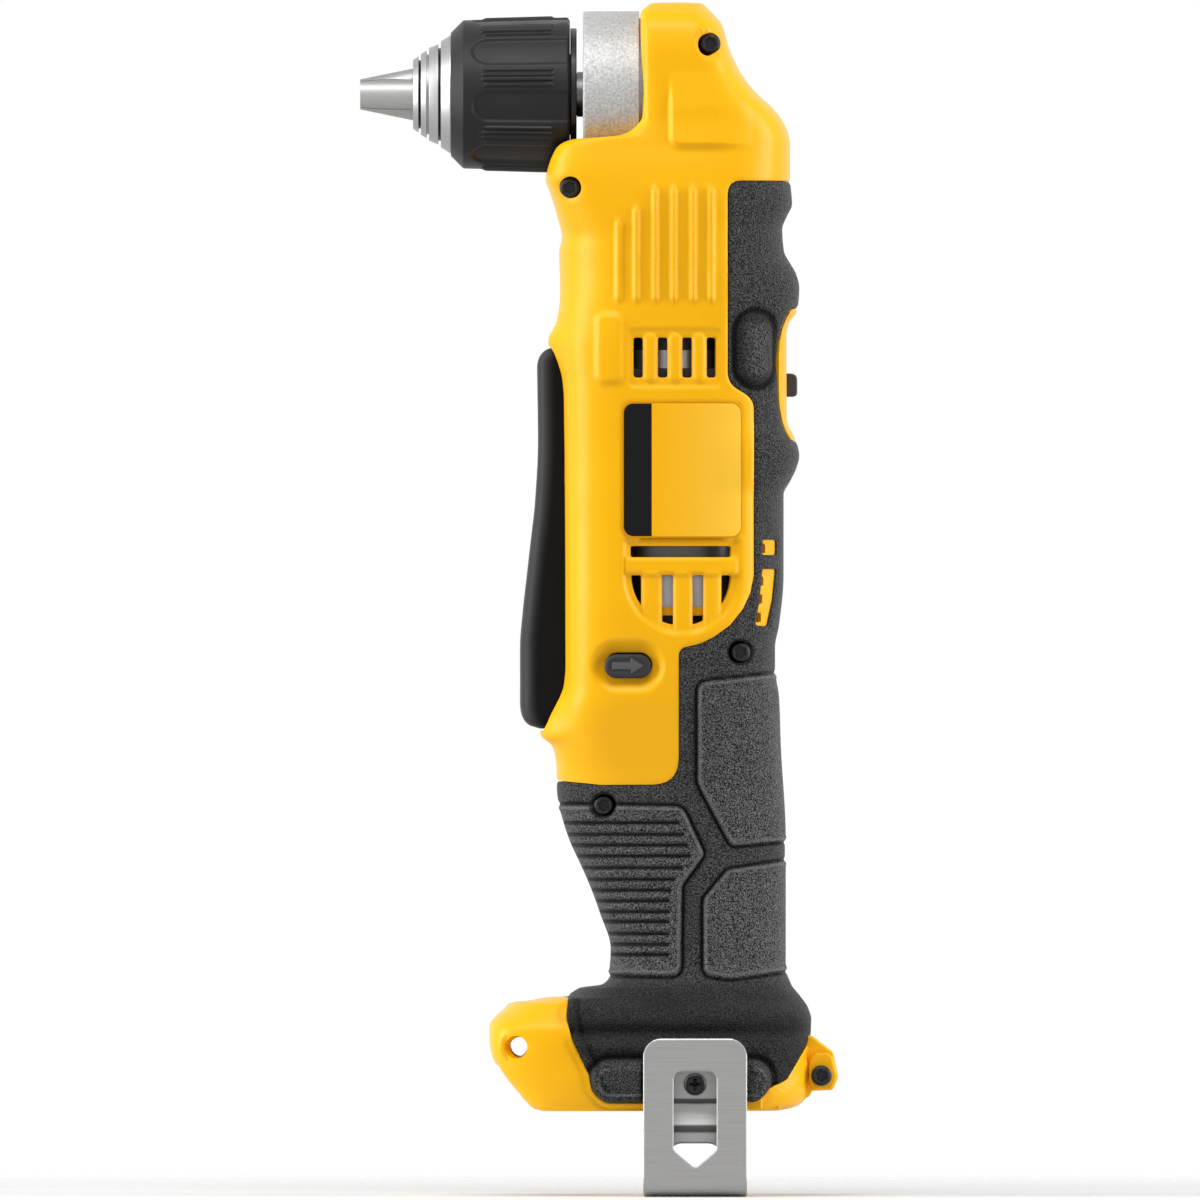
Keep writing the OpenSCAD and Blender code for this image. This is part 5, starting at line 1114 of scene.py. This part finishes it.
chuck_nose = rounded([
    (-57.6, 5.2, 0.3), (-57.6, 7.7, 0.3), (-56.35, 8.5, 0.12), (-56.35, 7.6, 0), (-55.85, 7.6, 0),
    (-55.85, 9.0, 0.2), (-54.55, 9.8, 0.12), (-54.55, 8.9, 0), (-54.05, 8.9, 0), (-54.05, 10.3, 0.2),
    (-51.95, 11.2, 0.12), (-51.95, 10.3, 0), (-51.4, 10.3, 0), (-51.4, 11.8, 0.2), (-49.4, 13.1, 0.1),
    (-46, 13.1, 0), (-46, 14.6, 0), (-24.2, 14.6, 0), (-24.2, 9, 0), (-22.5, 9, 0), (-22.5, 5, 0),
    (-41, 5, 0), (-41, 5.2, 0)])
body = piece_of("chuck_core", [turned(chuck_nose, 128)])
turned_steel = brushed_metal("turned_steel", (0.42, 0.42, 0.42), (6000, 40, 40), (0.36, 0.48), 0.000004, 0.22)
# painted shade in the grooves between the nose's rings: the steel's colour darkens there
nose_grooves = (-56.1, -54.3, -51.7)
spots = np.zeros(len(body.data.vertices) * 3)
body.data.vertices.foreach_get("co", spots)
spot_x, spot_y, spot_z = spots.reshape(-1, 3).T / MM
deep = np.hypot(spot_y, spot_z - spindle_z) < 10.7 - 0.65 * (nose_grooves[-1] - spot_x)
painted_groove_shade = np.where(deep, np.min([np.abs(spot_x - groove) for groove in nose_grooves], axis=0), 3.0)
body.data.attributes.new("groove", "FLOAT", "POINT").data.foreach_set("value", painted_groove_shade)
marked(turned_steel, "groove", (0.25, 0.5, 0.97, 0))
body.data.materials.append(turned_steel)
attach(body, "spindle")
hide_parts("chuck_body")

flange_outline = rounded([(-22.6, 5, 0), (-22.6, 14.7, 0.3), (-21.2, 14.7, 0.3), (-21.2, 5, 0)])
flange = piece_of("chuck_flange", [turned(flange_outline, 96)])
flange.data.materials.append(black_oxide)
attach(flange, "spindle")
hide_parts("chuck_body")

sleeve_r, flute_step = 17, 45


def arc_from(angle, first):
    """Way round the sleeve, in mm, from the nearest of eight places a step apart."""
    return np.radians((np.degrees(angle) - first + flute_step / 2) % flute_step - flute_step / 2) * sleeve_r


def sleeve_relief(px, angle, pr):
    """Eight smooth flutes, open to the back, and eight ribbed panels between them."""
    px, arc, flute_arc = np.broadcast_arrays(px, arc_from(angle, 12.5), arc_from(angle, 35))
    flute = line_off(px, flute_arc, (-41.0, 0), (-15, 0), 3.35)
    panel = box_off(px, arc, (-42.9, -3.0), (-25.6, 3.0), 1.6)
    ribs = np.min([line_off(px, arc, (-42.2 + 0.5 * abs(k), 1.2 * k), (-26.8, 1.2 * k), 0.36)
                   for k in (-1.5, -0.5, 0.5, 1.5)], axis=0)
    shape = -0.5 * rise(flute, 0.7) + 0.12 * rise(panel, 0.6) + 0.38 * bead(ribs, 0.36)
    return np.where(pr > 16, shape, 0) * np.clip((px + 46.6) / 1.5, 0, 1)


def finer(outline, step):
    """The same outline with points no farther apart than a step."""
    out = []
    for (x0, r0), (x1, r1) in zip(outline, outline[1:] + outline[:1]):
        count = max(1, int(math.hypot(x1 - x0, r1 - r0) / step))
        out += [(x0 + (x1 - x0) * k / count, r0 + (r1 - r0) * k / count) for k in range(count)]
    return out


sleeve_outline = finer(rounded([
    (-49.2, 13.25, 0), (-49.2, 13.7, 0.2), (-46.4, 16.5, 0.7), (-23.2, 17.15, 0.5), (-22.7, 16.3, 0.3),
    (-22.7, 15, 0), (-46, 15, 0), (-46, 13.25, 0)]), 0.34)
sleeve = piece_of("chuck_grip", [turned(sleeve_outline, 432, sleeve_relief)])
chuck_black = grain_material("chuck_nylon", (0.012, 0.012, 0.0125), (0.018, 0.018, 0.019),
                             (0.00035, 0.012, 0.36, 0.48), (0.18, 0.00004), Specular_IOR_Level=0.2)
sleeve.data.materials.append(chuck_black)
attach(sleeve, "sleeve")
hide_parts("chuck_sleeve")

jaw_tip, jaw_lean, jaw_radius, jaw_length = -69.4, math.radians(13.3), 3.3, 26.5
jaw_rows = np.linspace(-1.2, jaw_length, 12)
jaw_turns = np.linspace(0, 2 * math.pi, 72, endpoint=False)[:, None]
ahead, tip = np.array([1.0, 0, 0]), np.array([jaw_tip, 0, spindle_z])
ground_steel = brushed_metal("ground_steel", (0.4, 0.4, 0.39), (60, 2500, 2500), (0.4, 0.5), 0.000006, 0.3)
for name, turn in (("a", 30), ("b", 150), ("c", 270)):
    radial = np.array([0, math.sin(math.radians(turn)), -math.cos(math.radians(turn))])
    way = math.cos(jaw_lean) * ahead + math.sin(jaw_lean) * radial
    aside = np.cross(ahead, radial)
    ring = jaw_radius * (aside * np.cos(jaw_turns) + np.cross(aside, way) * np.sin(jaw_turns))
    points = np.concatenate([tip + way * t + ring for t in jaw_rows])
    n, rows = len(jaw_turns), len(jaw_rows)
    jaw_ends = [tuple(range(n)), tuple(range((rows - 1) * n, rows * n))]
    solid = solid_of(points, ring_faces(rows, n) + jaw_ends)
    cuts = [(tip + 0.05 * ahead, ahead)]
    for swing in (math.radians(-30), math.radians(30)):
        normal = math.cos(swing) * radial + math.sin(swing) * aside
        cuts.append((np.array([0, 0, spindle_z]) + 0.1 * radial, normal))
    for place, normal in cuts:
        found = bmesh.ops.bisect_plane(solid, geom=solid.verts[:] + solid.edges[:] + solid.faces[:],
                                       plane_co=place * MM, plane_no=normal, clear_inner=True)
        cut_edges = [part for part in found["geom_cut"] if isinstance(part, bmesh.types.BMEdge)]
        bmesh.ops.edgeloop_fill(solid, edges=cut_edges)
    bmesh.ops.recalc_face_normals(solid, faces=solid.faces)
    jaw = piece_of("jaw_" + name + "_blade", [solid], 0.18)
    jaw.data.materials.append(ground_steel)
    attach(jaw, "jaw_" + name)
    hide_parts("chuck_jaw_" + name)

# Stage: a plain pale floor under the hook, soft lamps on both sides and above, a white surround and a
# long lens square on the left side, as the tool is shown.

floor_z = -0.0190
floor_mesh = bpy.data.meshes.new("floor")
floor_mesh.from_pydata([(-3, -2, floor_z), (3, -2, floor_z), (3, 0.5, floor_z), (-3, 0.5, floor_z)], [],
                       [(0, 1, 2, 3)])
floor = shown("floor", floor_mesh)
pale, tree, shader = new_material("pale_floor", Base_Color=(0.88, 0.88, 0.87, 1), Roughness=0.7)
coord = add(tree, "TexCoord")
reach = add(tree, "VectorMath", operation="LENGTH")
fade = ramp(tree, 0.08, 0.48, 1, 0)
wire(tree, (coord, "Object", reach, 0), (reach, "Value", fade, "Value"), (fade, "Result", shader, "Alpha"))
floor_mesh.materials.append(pale)


def soft_lamp(name, place, size, watts):
    """Rectangular lamp that faces the middle of the tool."""
    lamp = bpy.data.lights.new(name, "AREA")
    lamp.shape = "RECTANGLE"
    lamp.size, lamp.size_y = size
    lamp.energy = watts
    holder = shown(name, lamp)
    holder.location = place
    across, back, up = [a - p for a, p in zip((-0.01, 0, 0.11), place)]
    tilt = math.atan2(math.hypot(across, back), -up)
    holder.rotation_euler = (tilt, 0, math.atan2(across, -back) + math.pi)


soft_lamp("left_lamp", (-1.25, -0.27, 0.4), (0.7, 1.2), 19)
soft_lamp("right_lamp", (1.25, -0.25, 0.3), (0.7, 1.2), 17)
soft_lamp("top_lamp", (-0.1, -0.55, 1.0), (0.9, 0.6), 8)

world = bpy.data.worlds.new("surround")
bpy.context.scene.world = world
world.use_nodes = True
tree = world.node_tree
tree.nodes.clear()
rays = add(tree, "LightPath")
glossy = add(tree, "Math", operation="MAXIMUM")
seen = add(tree, "Math", operation="MAXIMUM")
glow = add(tree, "Background", Color=(0.92, 0.95, 1, 1), Strength=0.14)
white = add(tree, "Background", Color=(1, 1, 1, 1), Strength=1)
pick = add(tree, "MixShader")
out = add(tree, "OutputWorld")
wire(tree, (rays, "Is Camera Ray", glossy, 0), (rays, "Is Glossy Ray", glossy, 1), (glossy, 0, seen, 0),
     (rays, "Is Transmission Ray", seen, 1), (seen, 0, pick, 0), (glow, 0, pick, 1), (white, 0, pick, 2),
     (pick, 0, out, 0))

sensor_width, camera_away, view_width = 36, 12, 0.267
camera = bpy.data.cameras.new("side_camera")
camera.lens = sensor_width * camera_away / view_width
camera.clip_end = 20
holder = shown("side_camera", camera)
holder.location = (-0.016, -camera_away, 0.1135)
holder.rotation_euler = (math.pi / 2, 0, 0)
bpy.context.scene.camera = holder
bpy.context.scene.view_settings.view_transform = "Standard"
